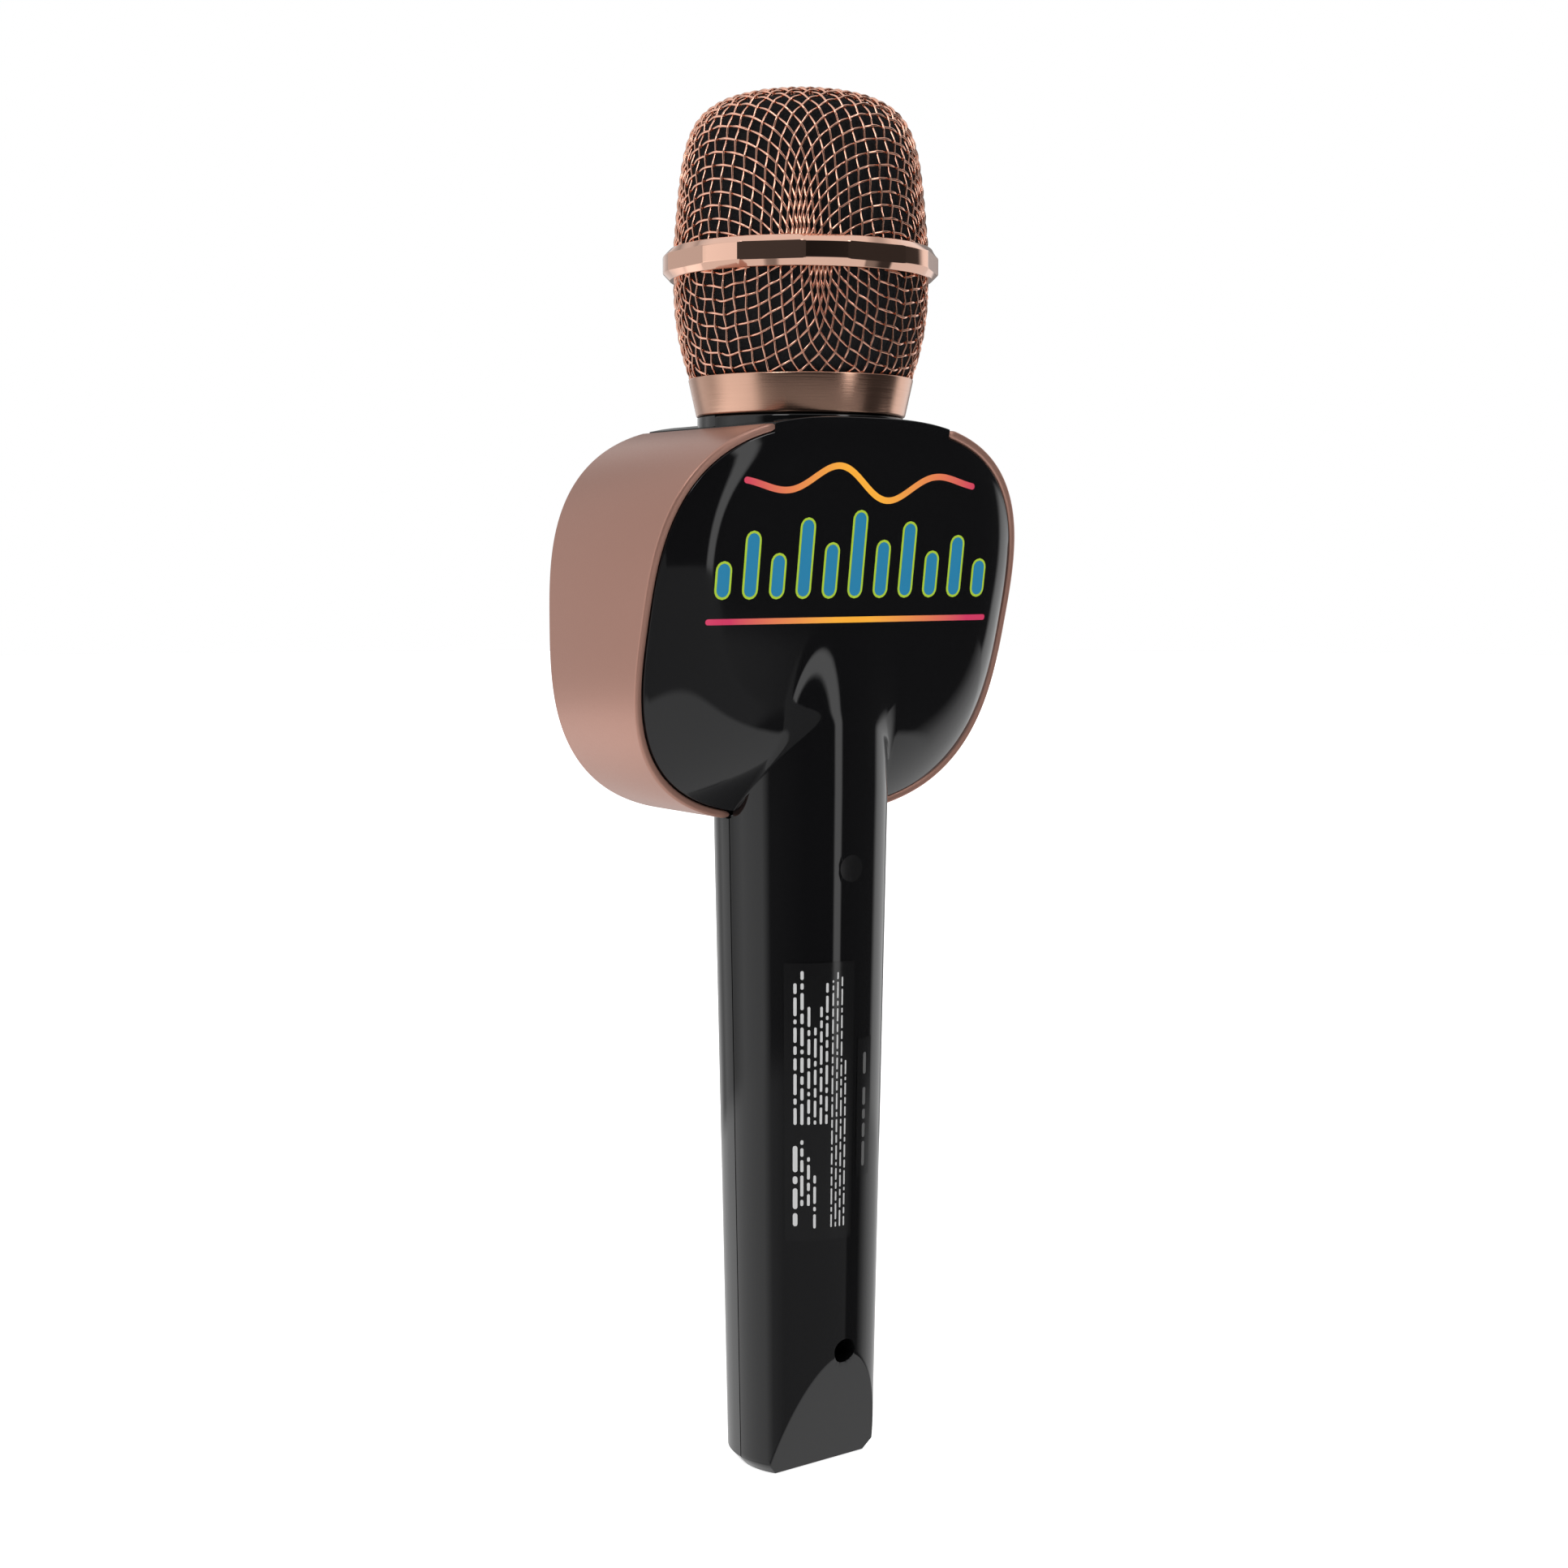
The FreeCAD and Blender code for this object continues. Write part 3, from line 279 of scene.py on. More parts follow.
def blend_reach(z):
    """How far the handle's fillet into the rear face reaches: crisp low down, soft where the ridge fades."""
    return 0.35 + 3.6 * smooth_step(z, 138, 153) * (1 - smooth_step(z, 163, 178))


def rear_y(x, z, inset=SHELL_INSET):
    """Rear face blended with the handle that runs into it."""
    face = crown_y(x, z, inset)
    radius = nose_radius(z)
    handle = math.sqrt(radius ** 2 - x ** 2) if abs(x) < radius else -5.0
    reach = blend_reach(z)
    near = max(reach - abs(face - handle), 0.0) / reach
    return max(face, handle) + near * near * reach / 4


def junction_height(bearing):
    """Height at which the handle's surface, at a bearing from +Y, meets the rear face."""
    z = OUTLINE_CENTRE - OUTLINE_RISE
    while z < 176:
        radius = nose_radius(z)
        x, y = radius * math.sin(bearing), radius * math.cos(bearing)
        across = (abs(x) / (OUTLINE_WIDTH - SHELL_INSET)) ** OUTLINE_POWER
        up = (abs(z - OUTLINE_CENTRE) / (OUTLINE_RISE - SHELL_INSET)) ** OUTLINE_POWER
        if across + up < 1 and crown_y(x, z) > y:
            return z
        z += 0.05
    return z


def bottom_radius(z):
    """Handle radius with the chamfer round its bottom end."""
    if z >= CHAMFER_RISE:
        return cone_radius(z)
    low = BASE_RADIUS - CHAMFER_RUN
    return low + (cone_radius(CHAMFER_RISE) - low) * z / CHAMFER_RISE



# ---------------------------------------------------------------- material helpers

def principled(name, colour, metallic=0.0, roughness=0.5, **extra):
    """Material with one Principled shader; returns the material, its tree and the shader."""
    material = bpy.data.materials.new(name)
    material.use_nodes = True
    tree = material.node_tree
    shader = tree.nodes["Principled BSDF"]
    shader.inputs["Base Color"].default_value = (*colour, 1.0)
    shader.inputs["Metallic"].default_value = metallic
    shader.inputs["Roughness"].default_value = roughness
    for socket, value in extra.items():
        shader.inputs[socket.replace("_", " ")].default_value = value
    return material, tree, shader


def noise(tree, scale, detail=2.0, stretch=(1, 1, 1)):
    """Noise over the object's own coordinates, in features per metre."""
    place = tree.nodes.new("ShaderNodeTexCoord")
    spread = tree.nodes.new("ShaderNodeMapping")
    spread.inputs["Scale"].default_value = stretch
    texture = tree.nodes.new("ShaderNodeTexNoise")
    texture.inputs["Scale"].default_value = scale
    texture.inputs["Detail"].default_value = detail
    tree.links.new(place.outputs["Object"], spread.inputs["Vector"])
    tree.links.new(spread.outputs["Vector"], texture.inputs["Vector"])
    return texture.outputs["Fac"]


def span(tree, value, low, high):
    """Map a 0 to 1 value to a range."""
    node = tree.nodes.new("ShaderNodeMapRange")
    node.inputs["To Min"].default_value = low
    node.inputs["To Max"].default_value = high
    tree.links.new(value, node.inputs["Value"])
    return node.outputs["Result"]


def bump(tree, shader, value, height, strength=1.0):
    """Raise a shader's surface by a value, with a height in metres."""
    node = tree.nodes.new("ShaderNodeBump")
    node.inputs["Strength"].default_value = strength
    node.inputs["Distance"].default_value = height
    tree.links.new(value, node.inputs["Height"])
    tree.links.new(node.outputs["Normal"], shader.inputs["Normal"])


def grained(name, colour, metallic, low, high, scale, stretch=(1, 1, 1), height=0.0, **extra):
    """Material whose roughness varies finely between two values, with optional relief."""
    material, tree, shader = principled(name, colour, metallic, low, **extra)
    grain = noise(tree, scale, 3.0, stretch)
    tree.links.new(span(tree, grain, low, high), shader.inputs["Roughness"])
    if height:
        bump(tree, shader, grain, height)
    return material


def rose_satin():
    """Satin rose-gold lacquer with a fine metallic flake."""
    material, tree, shader = principled("rose_gold_satin", (0.42, 0.225, 0.175), 0.6, 0.36)
    flake = tree.nodes.new("ShaderNodeTexVoronoi")
    place = tree.nodes.new("ShaderNodeTexCoord")
    flake.inputs["Scale"].default_value = 3400
    tree.links.new(place.outputs["Object"], flake.inputs["Vector"])
    bump(tree, shader, flake.outputs["Distance"], 0.00002, 0.5)
    tree.links.new(span(tree, noise(tree, 2500), 0.28, 0.42), shader.inputs["Roughness"])
    return material


def foam_look():
    """Open-celled black foam."""
    material, tree, shader = principled("black_foam", (0.012, 0.012, 0.013), 0.0, 0.95)
    shader.inputs["Specular IOR Level"].default_value = 0.2
    bump(tree, shader, noise(tree, 1600, 4.0), 0.0006)
    return material


def clear_look():
    """Clear moulded plastic."""
    return principled("clear_plastic", (0.9, 0.95, 1.0), 0.0, 0.08, Transmission_Weight=0.85, IOR=1.49)[0]


LOOKS = {
    "copper_mesh": grained("copper_mesh", (0.90, 0.50, 0.37), 1.0, 0.08, 0.2, 900),
    "polished_copper": grained("polished_copper", (0.84, 0.52, 0.40), 1.0, 0.05, 0.1, 600),
    "brushed_copper": grained("brushed_copper", (0.70, 0.42, 0.31), 1.0, 0.12, 0.3, 70, (1, 1, 70), 0.000012),
    "black_foam": foam_look(),
    "black_matte": grained("black_matte", (0.015, 0.015, 0.016), 0.0, 0.5, 0.65, 900),
    "black_rubber": grained("black_rubber", (0.012, 0.012, 0.012), 0.0, 0.6, 0.75, 700),
    "capsule_metal": grained("capsule_metal", (0.42, 0.42, 0.43), 1.0, 0.28, 0.4, 500),
    "steel": grained("steel", (0.52, 0.52, 0.53), 1.0, 0.25, 0.38, 500),
    "wire_insulation": grained("wire_insulation", (0.35, 0.02, 0.02), 0.0, 0.4, 0.5, 700),
    "black_gloss": grained("black_gloss", (0.004, 0.004, 0.0045), 0.0, 0.045, 0.07, 120),
    "rose_gold_satin": rose_satin(),
    "grille_black": grained("grille_black", (0.012, 0.012, 0.013), 0.0, 0.38, 0.5, 800),
    "frame_steel": grained("frame_steel", (0.06, 0.06, 0.065), 0.8, 0.4, 0.5, 500),
    "cone_paper": grained("cone_paper", (0.018, 0.018, 0.02), 0.0, 0.75, 0.9, 1500, height=0.00003),
    "copper_wire": grained("copper_wire", (0.72, 0.30, 0.14), 1.0, 0.25, 0.4, 1500, (1, 1, 12)),
    "spider_cloth": grained("spider_cloth", (0.30, 0.20, 0.07), 0.0, 0.8, 0.9, 2500, height=0.00005),
    "ferrite": grained("ferrite", (0.035, 0.035, 0.04), 0.2, 0.5, 0.65, 900),
    "board_green": grained("board_green", (0.012, 0.10, 0.035), 0.0, 0.35, 0.5, 400),
    "screw_steel": grained("screw_steel", (0.30, 0.30, 0.31), 1.0, 0.3, 0.4, 900),
    "panel_black": grained("panel_black", (0.008, 0.008, 0.009), 0.0, 0.25, 0.33, 500),
    "rose_gold_plastic": grained("rose_gold_plastic", (0.50, 0.24, 0.17), 0.9, 0.25, 0.35, 1500),
    "button_rubber": grained("button_rubber", (0.02, 0.02, 0.022), 0.0, 0.45, 0.6, 900),
    "clear_plastic": clear_look(),
    "module_metal": grained("module_metal", (0.6, 0.6, 0.6), 1.0, 0.3, 0.4, 500),
    "battery_sleeve": grained("battery_sleeve", (0.02, 0.10, 0.22), 0.0, 0.25, 0.35, 300),
    "plug_black": grained("plug_black", (0.006, 0.006, 0.0065), 0.0, 0.2, 0.3, 900),
    "label_film": grained("label_film", (0.006, 0.006, 0.0065), 0.0, 0.10, 0.16, 900),
}


def paint_frame():
    """Give every carried-over CAD node the look of its material slots."""
    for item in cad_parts.values():
        for holder in item.material_slots:
            name = holder.material.name.split(".")[0] if holder.material else ""
            if name in LOOKS:
                holder.material = LOOKS[name]


# ---------------------------------------------------------------- woven mesh of the head

class Dome:
    """Surface of revolution given by a profile of (radius, height), walked by arc length from its pole."""

    def __init__(self, profile):
        points = np.array(profile, float)
        lengths = np.hypot(*np.diff(points, axis=0).T)
        self.arc = np.concatenate([[0], np.cumsum(lengths)])
        self.points = points

    def ring(self, arc):
        """Radius and height at an arc length; past the end the last span carries on."""
        over = max(arc - self.arc[-1], 0.0)
        last = self.points[-1] - self.points[-2]
        last = last / np.linalg.norm(last)
        r = np.interp(arc, self.arc, self.points[:, 0]) + over * last[0]
        z = np.interp(arc, self.arc, self.points[:, 1]) + over * last[1]
        return r, z

    def at(self, arc, angle):
        """Point at an arc length and azimuth."""
        r, z = self.ring(arc)
        return np.array([r * math.cos(angle), r * math.sin(angle), z])

    def normal(self, arc, angle):
        """Outward direction at an arc length and azimuth."""
        r0, z0 = self.ring(max(arc - 0.3, 0.0))
        r1, z1 = self.ring(arc + 0.3)
        along = np.array([r1 - r0, z1 - z0])
        out_r, out_z = np.array([-along[1], along[0]]) / np.linalg.norm(along)
        sense = 1 if out_r >= 0 else -1
        if abs(out_r) < 1e-6:
            sense = 1
        return sense * np.array([out_r * math.cos(angle), out_r * math.sin(angle), out_z])


def next_node(dome, left, below, corner, pitch):
    """Node one pitch from its two neighbours, opposite the cell's first corner; nodes are (arc, angle)."""
    a, b, c = dome.at(*left), dome.at(*below), dome.at(*corner)
    guess = a + b - c
    angle = math.atan2(guess[1], guess[0])
    arc = max(left[0], below[0]) + pitch * 0.35
    for _ in range(12):
        here = dome.at(arc, angle)
        miss = np.array([np.sum((here - a) ** 2) - pitch ** 2, np.sum((here - b) ** 2) - pitch ** 2])
        if np.abs(miss).max() < 1e-7:
            break
        by_arc = (dome.at(arc + 1e-4, angle) - here) / 1e-4
        by_angle = (dome.at(arc, angle + 1e-5) - here) / 1e-5
        slopes = np.array([[2 * (here - a) @ by_arc, 2 * (here - a) @ by_angle],
                           [2 * (here - b) @ by_arc, 2 * (here - b) @ by_angle]])
        step = np.linalg.lstsq(slopes, -miss, rcond=None)[0]
        arc += float(np.clip(step[0], -pitch, pitch))
        angle += float(np.clip(step[1], -0.3, 0.3))
    return arc, angle


def quarter_net(dome, pitch, count):
    """One quarter of a net of equal cells draped over a dome, as (arc, angle) by grid place."""
    nodes = {(0, 0): (0.0, math.pi / 4)}
    for step in range(1, count + 1):
        nodes[(step, 0)] = (step * pitch, 0.0)
        nodes[(0, step)] = (step * pitch, math.pi / 2)
    for i in range(1, count + 1):
        for j in range(1, count + 1):
            left, below, corner = nodes[(i - 1, j)], nodes[(i, j - 1)], nodes[(i - 1, j - 1)]
            nodes[(i, j)] = next_node(dome, left, below, corner, pitch)
    return nodes


def woven_node(dome, nodes, place, turn, lift):
    """Wire centre at a grid place, lifted over or under the crossing wire."""
    i, j = place
    quarter = 0
    while not (i > 0 and j >= 0) and (i, j) != (0, 0):
        i, j = j, -i
        quarter += 1
    arc, angle = nodes[(i, j)]
    angle += quarter * math.pi / 2 + turn
    return dome.at(arc, angle) + lift * dome.normal(arc, angle)


def through(points, steps):
    """Smooth curve through points, with a number of steps in each span."""
    padded = [2 * points[0] - points[1]] + list(points) + [2 * points[-1] - points[-2]]
    curve = []
    for k in range(1, len(padded) - 2):
        p0, p1, p2, p3 = padded[k - 1:k + 3]
        for step in range(steps):
            t = step / steps
            curve.append(0.5 * (2 * p1 + (p2 - p0) * t + (2 * p0 - 5 * p1 + 4 * p2 - p3) * t ** 2
                                + (3 * p1 - p0 - 3 * p2 + p3) * t ** 3))
    curve.append(padded[-2])
    return curve


def runs(curve, inside):
    """Stretches of a curve whose points pass a test."""
    stretch = []
    for point in curve:
        if inside(point):
            stretch.append(point)
        else:
            if len(stretch) > 2:
                yield stretch
            stretch = []
    if len(stretch) > 2:
        yield stretch


def tube(points, faces, path, radius, sides=6):
    """Add a capped round wire along a path."""
    path = np.array(path)
    ahead = np.gradient(path, axis=0)
    ahead /= np.linalg.norm(ahead, axis=1)[:, None]
    side = np.cross(ahead[0], (0.31, 0.53, 0.79))
    start = len(points)
    for here, way in zip(path, ahead):
        side = side - way * (side @ way)
        side /= np.linalg.norm(side)
        other = np.cross(way, side)
        for k in range(sides):
            turn = 2 * math.pi * k / sides
            points.append(here + radius * (math.cos(turn) * side + math.sin(turn) * other))
    faces += grid_faces(len(path), sides, start, True)
    faces.append(tuple(range(start + sides - 1, start - 1, -1)))
    last = start + (len(path) - 1) * sides
    faces.append(tuple(range(last, last + sides)))


WIRE = 0.23
WEAVE = 0.21
PITCH = 2.45
WEAVE_STEPS = 4


def basket(name, profile, count, turn, inside, node):
    """Woven wire basket draped over a profile."""
    dome = Dome(profile)
    nodes = quarter_net(dome, PITCH, count)
    points, faces = [], []
    for family in (0, 1):
        for i in range(-count, count + 1):
            line = []
            for j in range(-count, count + 1):
                place = (i, j) if family == 0 else (j, i)
                sign = (1 if (i + j) % 2 else -1) * (1 if family else -1)
                line.append(woven_node(dome, nodes, place, math.radians(turn), sign * WEAVE))
            for stretch in runs(through(line, WEAVE_STEPS), inside):
                tube(points, faces, stretch, WIRE)
    mesh = bpy.data.meshes.new(name)
    mesh.from_pydata([tuple(np.asarray(point) * MM) for point in points], [], faces)
    item = link(name, mesh)
    item.data.shade_smooth()
    return finish_piece(item, HEAD, LOOKS["copper_mesh"], [node])


def bezier_point(poles, share):
    """Point on the curve of a set of control points."""
    poles = np.array(poles, float)
    while len(poles) > 1:
        poles = poles[:-1] * (1 - share) + poles[1:] * share
    return poles[0]


def upper_profile():
    """Wire centres of the upper basket, from the crown down into the joint ring."""
    poles = [(0, 267.0), (19.85, 267.0), (22.26, 262.75), (23.04, 254.6), (24.45, 238.0)]
    curve = [bezier_point(poles, step / 90) for step in range(91)]
    outer = np.array([(r, z) for r, z in curve])
    slope = np.gradient(outer, axis=0)
    slope /= np.linalg.norm(slope, axis=1)[:, None]
    inner = outer + (WIRE + WEAVE) * np.column_stack([slope[:, 1], -slope[:, 0]])
    inner[0, 0] = 0.0
    return inner


def lower_profile():
    """Wire centres of the lower basket, from its closed end inside the collar up into the ring."""
    bulge = arc_through((21.5, 213.35), (23.8, 222.1), (24.45, 231.5), 24)
    inset = WIRE + WEAVE
    return [(0.0, 212.6), (20.6, 212.9)] + [(r - inset, z) for r, z in bulge] + [(24.0, 234.0)]


def arc_through(a, b, c, count):
    """Points on the circle through three points."""
    start, middle, end = (np.array(point, float) for point in (a, b, c))
    rows = np.array([middle - start, end - start])
    target = np.array([middle @ middle - start @ start, end @ end - start @ start]) / 2
    centre = np.linalg.solve(rows, target)
    radius = np.linalg.norm(start - centre)
    first = math.atan2(*(start - centre)[::-1])
    last = math.atan2(*(end - centre)[::-1])
    turns = [first + (last - first) * step / count for step in range(count + 1)]
    return [(centre[0] + radius * math.cos(turn), centre[1] + radius * math.sin(turn)) for turn in turns]


def baskets():
    """Both halves of the woven head."""
    basket("upper_weave", upper_profile(), 31, 9.0, lambda p: p[2] > 236.6, "upper_mesh_basket")
    basket("lower_weave", lower_profile(), 27, 17.6,
           lambda p: p[2] < 233.0 and math.hypot(p[0], p[1]) > 19.6, "lower_mesh_basket")


# ---------------------------------------------------------------- ring and collar

def joint_ring():
    """Polished ring between the baskets, with eight flats round it."""
    slope = RING_CHAMFER
    corners = [(22.6, RING_BOTTOM), (RING_RADIUS - slope, RING_BOTTOM), (RING_RADIUS, RING_BOTTOM + slope),
               (RING_RADIUS, RING_TOP - slope), (RING_RADIUS - slope, RING_TOP), (22.6, RING_TOP)]
    outline = rounded(corners, 0.18, 5)
    patches = Patches()
    segments = 360
    columns = len(outline)
    for step in range(segments):
        azimuth = 360.0 * step / segments
        off = (azimuth - RING_TURN + 22.5) % 45 - 22.5
        limit = RING_FACET / math.cos(math.radians(off))
        turn = math.radians(azimuth)
        for r, z in outline:
            near = min(r, limit)
            patches.points.append((near * math.cos(turn), near * math.sin(turn), z))
    for step in range(segments):
        after = (step + 1) % segments
        for column in range(columns):
            over = (column + 1) % columns
            patches.faces.append((step * columns + column, after * columns + column,
                                  after * columns + over, step * columns + over))
    item = patches.object("faceted_ring", 11.0)
    finish_piece(item, HEAD, LOOKS["polished_copper"], ["mesh_joint_ring"])


def collar():
    """Brushed collar under the head."""
    low, high, low_radius, high_radius = COLLAR
    corners = [(HEAD_BORE, low), (low_radius, low), (high_radius, high), (HEAD_BORE, high)]
    item = lathe("brushed_collar", rounded(corners, 0.45, 5), 200)
    finish_piece(item, HEAD, LOOKS["brushed_copper"], ["head_collar"])


# ---------------------------------------------------------------- rear shell

def handle_ring_point(bearing, z):
    """Point on the handle's rear half, on the facet where it is cut; the parting edge is turned in."""
    radius = bottom_radius(z) if z < CHAMFER_RISE else nose_radius(z)
    if abs(bearing) > math.radians(89.9):
        radius -= SEAM_DEPTH
    x, y = radius * math.sin(bearing), radius * math.cos(bearing)
    return x, min(y, FACET_START + FACET_SLOPE * z) if z < 40 else y, z


def handle_rows(bearings):
    """Rows of points up the handle's rear half, one row per bearing, ending at the rear face."""
    rows = []
    for bearing in bearings:
        end = junction_height(abs(bearing))
        heights = [0.0, 0.3, 1.0, CHAMFER_RISE - 0.1, CHAMFER_RISE + 0.1, 3.0]
        heights += [3.0 + 27.0 * step / 60 for step in range(1, 61)]
        heights += [30.0 + 87.0 * step / 26 for step in range(1, 27)]
        heights += [117.0 + 7.0 * step / 18 for step in range(1, 19)] + [126.0, 128.0]
        heights += [128.0 + (end - 128.0) * step / 40 for step in range(1, 41)]
        row = []
        for z in heights:
            x, y, z = handle_ring_point(bearing, z)
            if z > 130.2:
                y = max(y, rear_y(x, z) if abs(x) < nose_radius(z) else y)
            row.append((x, y, z))
        rows.append(row)
    return rows


def outline_stations(count):
    """Outline points (x, z, inset) from beside the handle's foot over the shoulder to the top centre."""
    stations = []
    low = math.asin(-1.0)
    for step in range(count + 1):
        angle = low + math.pi * (step / count)
        x, z = outline_point(angle, SHELL_INSET)
        if z < OUTLINE_CENTRE and x < 16.97:
            continue
        if z > OUTLINE_CENTRE and x < BAND_TOP_START - 0.05:
            break
        stations.append((x, z, SHELL_INSET))
    edge_out = bridge_point(BAND_TOP_START - 0.06)
    edge_in = (BAND_TOP_START - 0.05, top_height(BAND_TOP_START - 0.05, SHELL_INSET), SHELL_INSET)
    stations.append(edge_in)
    stations.append(edge_out)
    for step in range(1, 25):
        stations.append(bridge_point((BAND_TOP_START - 0.06) * (1 - step / 24)))
    return stations


def top_height(x, inset):
    """Height of the outline's upper edge at a distance from its centre line."""
    share = 1 - (abs(x) / (OUTLINE_WIDTH - inset)) ** OUTLINE_POWER
    return OUTLINE_CENTRE + (OUTLINE_RISE - inset) * share ** (1 / OUTLINE_POWER)


def bridge_point(x):
    """Outer edge point of the part between the bands' upper ends."""
    return x, top_height(x, 0.05), 0.05


def junction_bearings(count):
    """Bearings from +Y, in even steps, at which the handle meets the rear face, from its foot to the apex."""
    return [math.radians(86.0) * (1 - step / count) for step in range(count + 1)]


def junction_point(bearing):
    """Point (x, z) where the handle meets the rear face."""
    z = junction_height(bearing)
    return nose_radius(z) * math.sin(bearing), z


def face_rows(side, stations, starts):
    """Rows of points from the handle's junction out to the edge and down to the parting plane."""
    rows = []
    for (ox, oz, _), (jx, jz) in zip(stations, starts):
        row = []
        shares = [step / 46 for step in range(47)]
        length = max(math.hypot(ox - jx, oz - jz), 1e-6)
        edge = min(0.35, 0.3 * length)
        stop = 1 - edge / length
        for share in shares:
            x = jx + (ox - jx) * share * stop
            z = jz + (oz - jz) * share * stop
            row.append((side * x, rear_y(x, z), z))
        last = row[-1][1]
        for step in range(1, 6):
            turn = math.pi / 2 * step / 5
            x = jx + (ox - jx) * (stop + (1 - stop) * math.sin(turn))
            z = jz + (oz - jz) * (stop + (1 - stop) * math.sin(turn))
            row.append((side * x, last - edge * (1 - math.cos(turn)), z))
        x, y, z = row[-1]
        for step in range(1, 5):
            row.append((x, max(y, 0.1) * (1 - step / 4) + 0.03, z))
        rows.append(row)
    return rows


def neck_half():
    """Rear half of the neck under the collar."""
    corners = [(17.6, 199.0), (NECK_RADIUS, 199.0), (NECK_RADIUS, NECK_TOP), (17.6, NECK_TOP)]
    outline = rounded(corners, 0.6, 5)
    rows = []
    for step in range(97):
        angle = math.pi * step / 96
        rows.append([(r * math.cos(angle), r * math.sin(angle), z) for r, z in outline])
    patches = Patches()
    patches.add(rows, closed=True)
    return patches.object("neck", 32.0)


def rear_cover():
    """Gloss rear shell: the handle's rear half flowing into the domed rear face."""
    patches = Patches()
    stations = outline_stations(150)
    meeting = junction_bearings(len(stations) - 1)
    foot = [math.radians(90.0 - step) for step in range(4)]
    half = foot + meeting
    patches.add(handle_rows([-bearing for bearing in half] + half[-2::-1]))
    starts = [junction_point(bearing) for bearing in meeting]
    for side in (-1, 1):
        patches.add(face_rows(side, stations, starts))
    item = patches.object("rear_cover", 32.0)
    sink_well(item, LOW_SCREW, OPEN_WELL, 6.0)
    sink_well(item, HIGH_SCREW, PLUG_SEAT, 13.0)
    item = join("rear_cover", item, neck_half())
    shade(item, 32.0)
    finish_piece(item, BODY, LOOKS["black_gloss"], ["rear_shell"])


# ---------------------------------------------------------------- side bands

def band_stations(count):
    """Outline angles of one band from its lower end to its upper end."""
    low = end_angle(BAND_LOW_START, -1)
    high = end_angle(BAND_TOP_START, 1)
    return [low + (high - low) * step / count for step in range(count + 1)]


def end_angle(x, half):
    """Outline angle whose point stands a distance from the centre line, on the lower or upper half."""
    angle = math.acos((x / OUTLINE_WIDTH) ** (OUTLINE_POWER / 2))
    return half * angle


def band(side, name, node):
    """Rose-gold band round one side of the housing, with rounded lips."""
    patches = Patches()
    rows = []
    angles = band_stations(200)
    for index, angle in enumerate(angles):
        _, z = outline_point(angle, 0)
        rear = lip_y(z)
        from_end = min(index, len(angles) - 1 - index)
        pinch = {0: 0.45, 1: 0.2, 2: 0.07}.get(from_end, 0.0)
        corners = [(pinch, -FRONT_PLANE + pinch), (pinch, rear - pinch),
                   (BAND_WALL - pinch, rear - pinch), (BAND_WALL - pinch, -FRONT_PLANE + pinch)]
        row = []
        for inset, y in rounded(corners, 0.62, 6):
            px, pz = outline_point(angle, inset)
            row.append((side * px, y, pz))
        rows.append(row)
    patches.add(rows, closed=True)
    columns = len(rows[0])
    patches.faces.append(tuple(range(columns)))
    last = (len(rows) - 1) * columns
    patches.faces.append(tuple(range(last + columns - 1, last - 1, -1)))
    item = patches.object(name, 50.0)
    finish_piece(item, BODY, LOOKS["rose_gold_satin"], [node])


# ---------------------------------------------------------------- prints and labels

def on_face(u, v, lift):
    """Point over the rear face at x = u and height v."""
    return u, rear_y(u, v) + lift, v


LABEL_RADIUS = 16.0


def on_handle(u, v, lift):
    """Point over the handle at height v, with u the way round it from +X on a 16 mm radius."""
    radius = cone_radius(v) + lift
    return radius * math.cos(u / LABEL_RADIUS), radius * math.sin(u / LABEL_RADIUS), v


def stroke(patches, place, line, half, lift):
    """Add a thin raised stroke with round ends along a line of (u, v) points."""
    line = np.array(line, float)
    arc = np.concatenate([[0], np.cumsum(np.hypot(*np.diff(line, axis=0).T))])
    near = np.array([0, 0.12, 0.35, 0.7, 1.0]) * half
    middle = np.arange(1.3 * half, arc[-1] - 1.29 * half, 0.6)
    marks = np.concatenate([near, middle, arc[-1] - near[::-1]])
    line = np.column_stack([np.interp(marks, arc, line[:, k]) for k in (0, 1)])
    ahead = np.gradient(line, axis=0)
    ahead /= np.linalg.norm(ahead, axis=1)[:, None]
    rows = []
    for point, way, run in zip(line, ahead, marks):
        end = min(run, marks[-1] - run)
        width = half * math.sqrt(max(1 - max(1 - end / half, 0) ** 2, 0.0004))
        aside = np.array([-way[1], way[0]]) * width
        row = [place(*(point - aside), -0.03)]
        row += [place(*(point + aside * share), lift) for share in (-1, -0.5, 0, 0.5, 1)]
        rows.append(row + [place(*(point + aside), -0.03)])
    patches.add(rows)


def glow_look():
    """Print that runs from pink at its ends to orange in the middle."""
    material, tree, shader = principled("print_glow", (0.8, 0.1, 0.1), 0.0, 0.25)
    place = tree.nodes.new("ShaderNodeTexCoord")
    split = tree.nodes.new("ShaderNodeSeparateXYZ")
    away = tree.nodes.new("ShaderNodeMath")
    away.operation = "ABSOLUTE"
    spread = tree.nodes.new("ShaderNodeMapRange")
    spread.inputs["From Min"].default_value = 0.004
    spread.inputs["From Max"].default_value = 0.028
    mix = tree.nodes.new("ShaderNodeMix")
    mix.data_type = "RGBA"
    mix.inputs["A"].default_value = (0.95, 0.42, 0.03, 1)
    mix.inputs["B"].default_value = (0.62, 0.03, 0.11, 1)
    tree.links.new(place.outputs["Object"], split.inputs[0])
    tree.links.new(split.outputs["X"], away.inputs[0])
    tree.links.new(away.outputs[0], spread.inputs["Value"])
    tree.links.new(spread.outputs["Result"], mix.inputs["Factor"])
    tree.links.new(mix.outputs["Result"], shader.inputs["Base Color"])
    return material


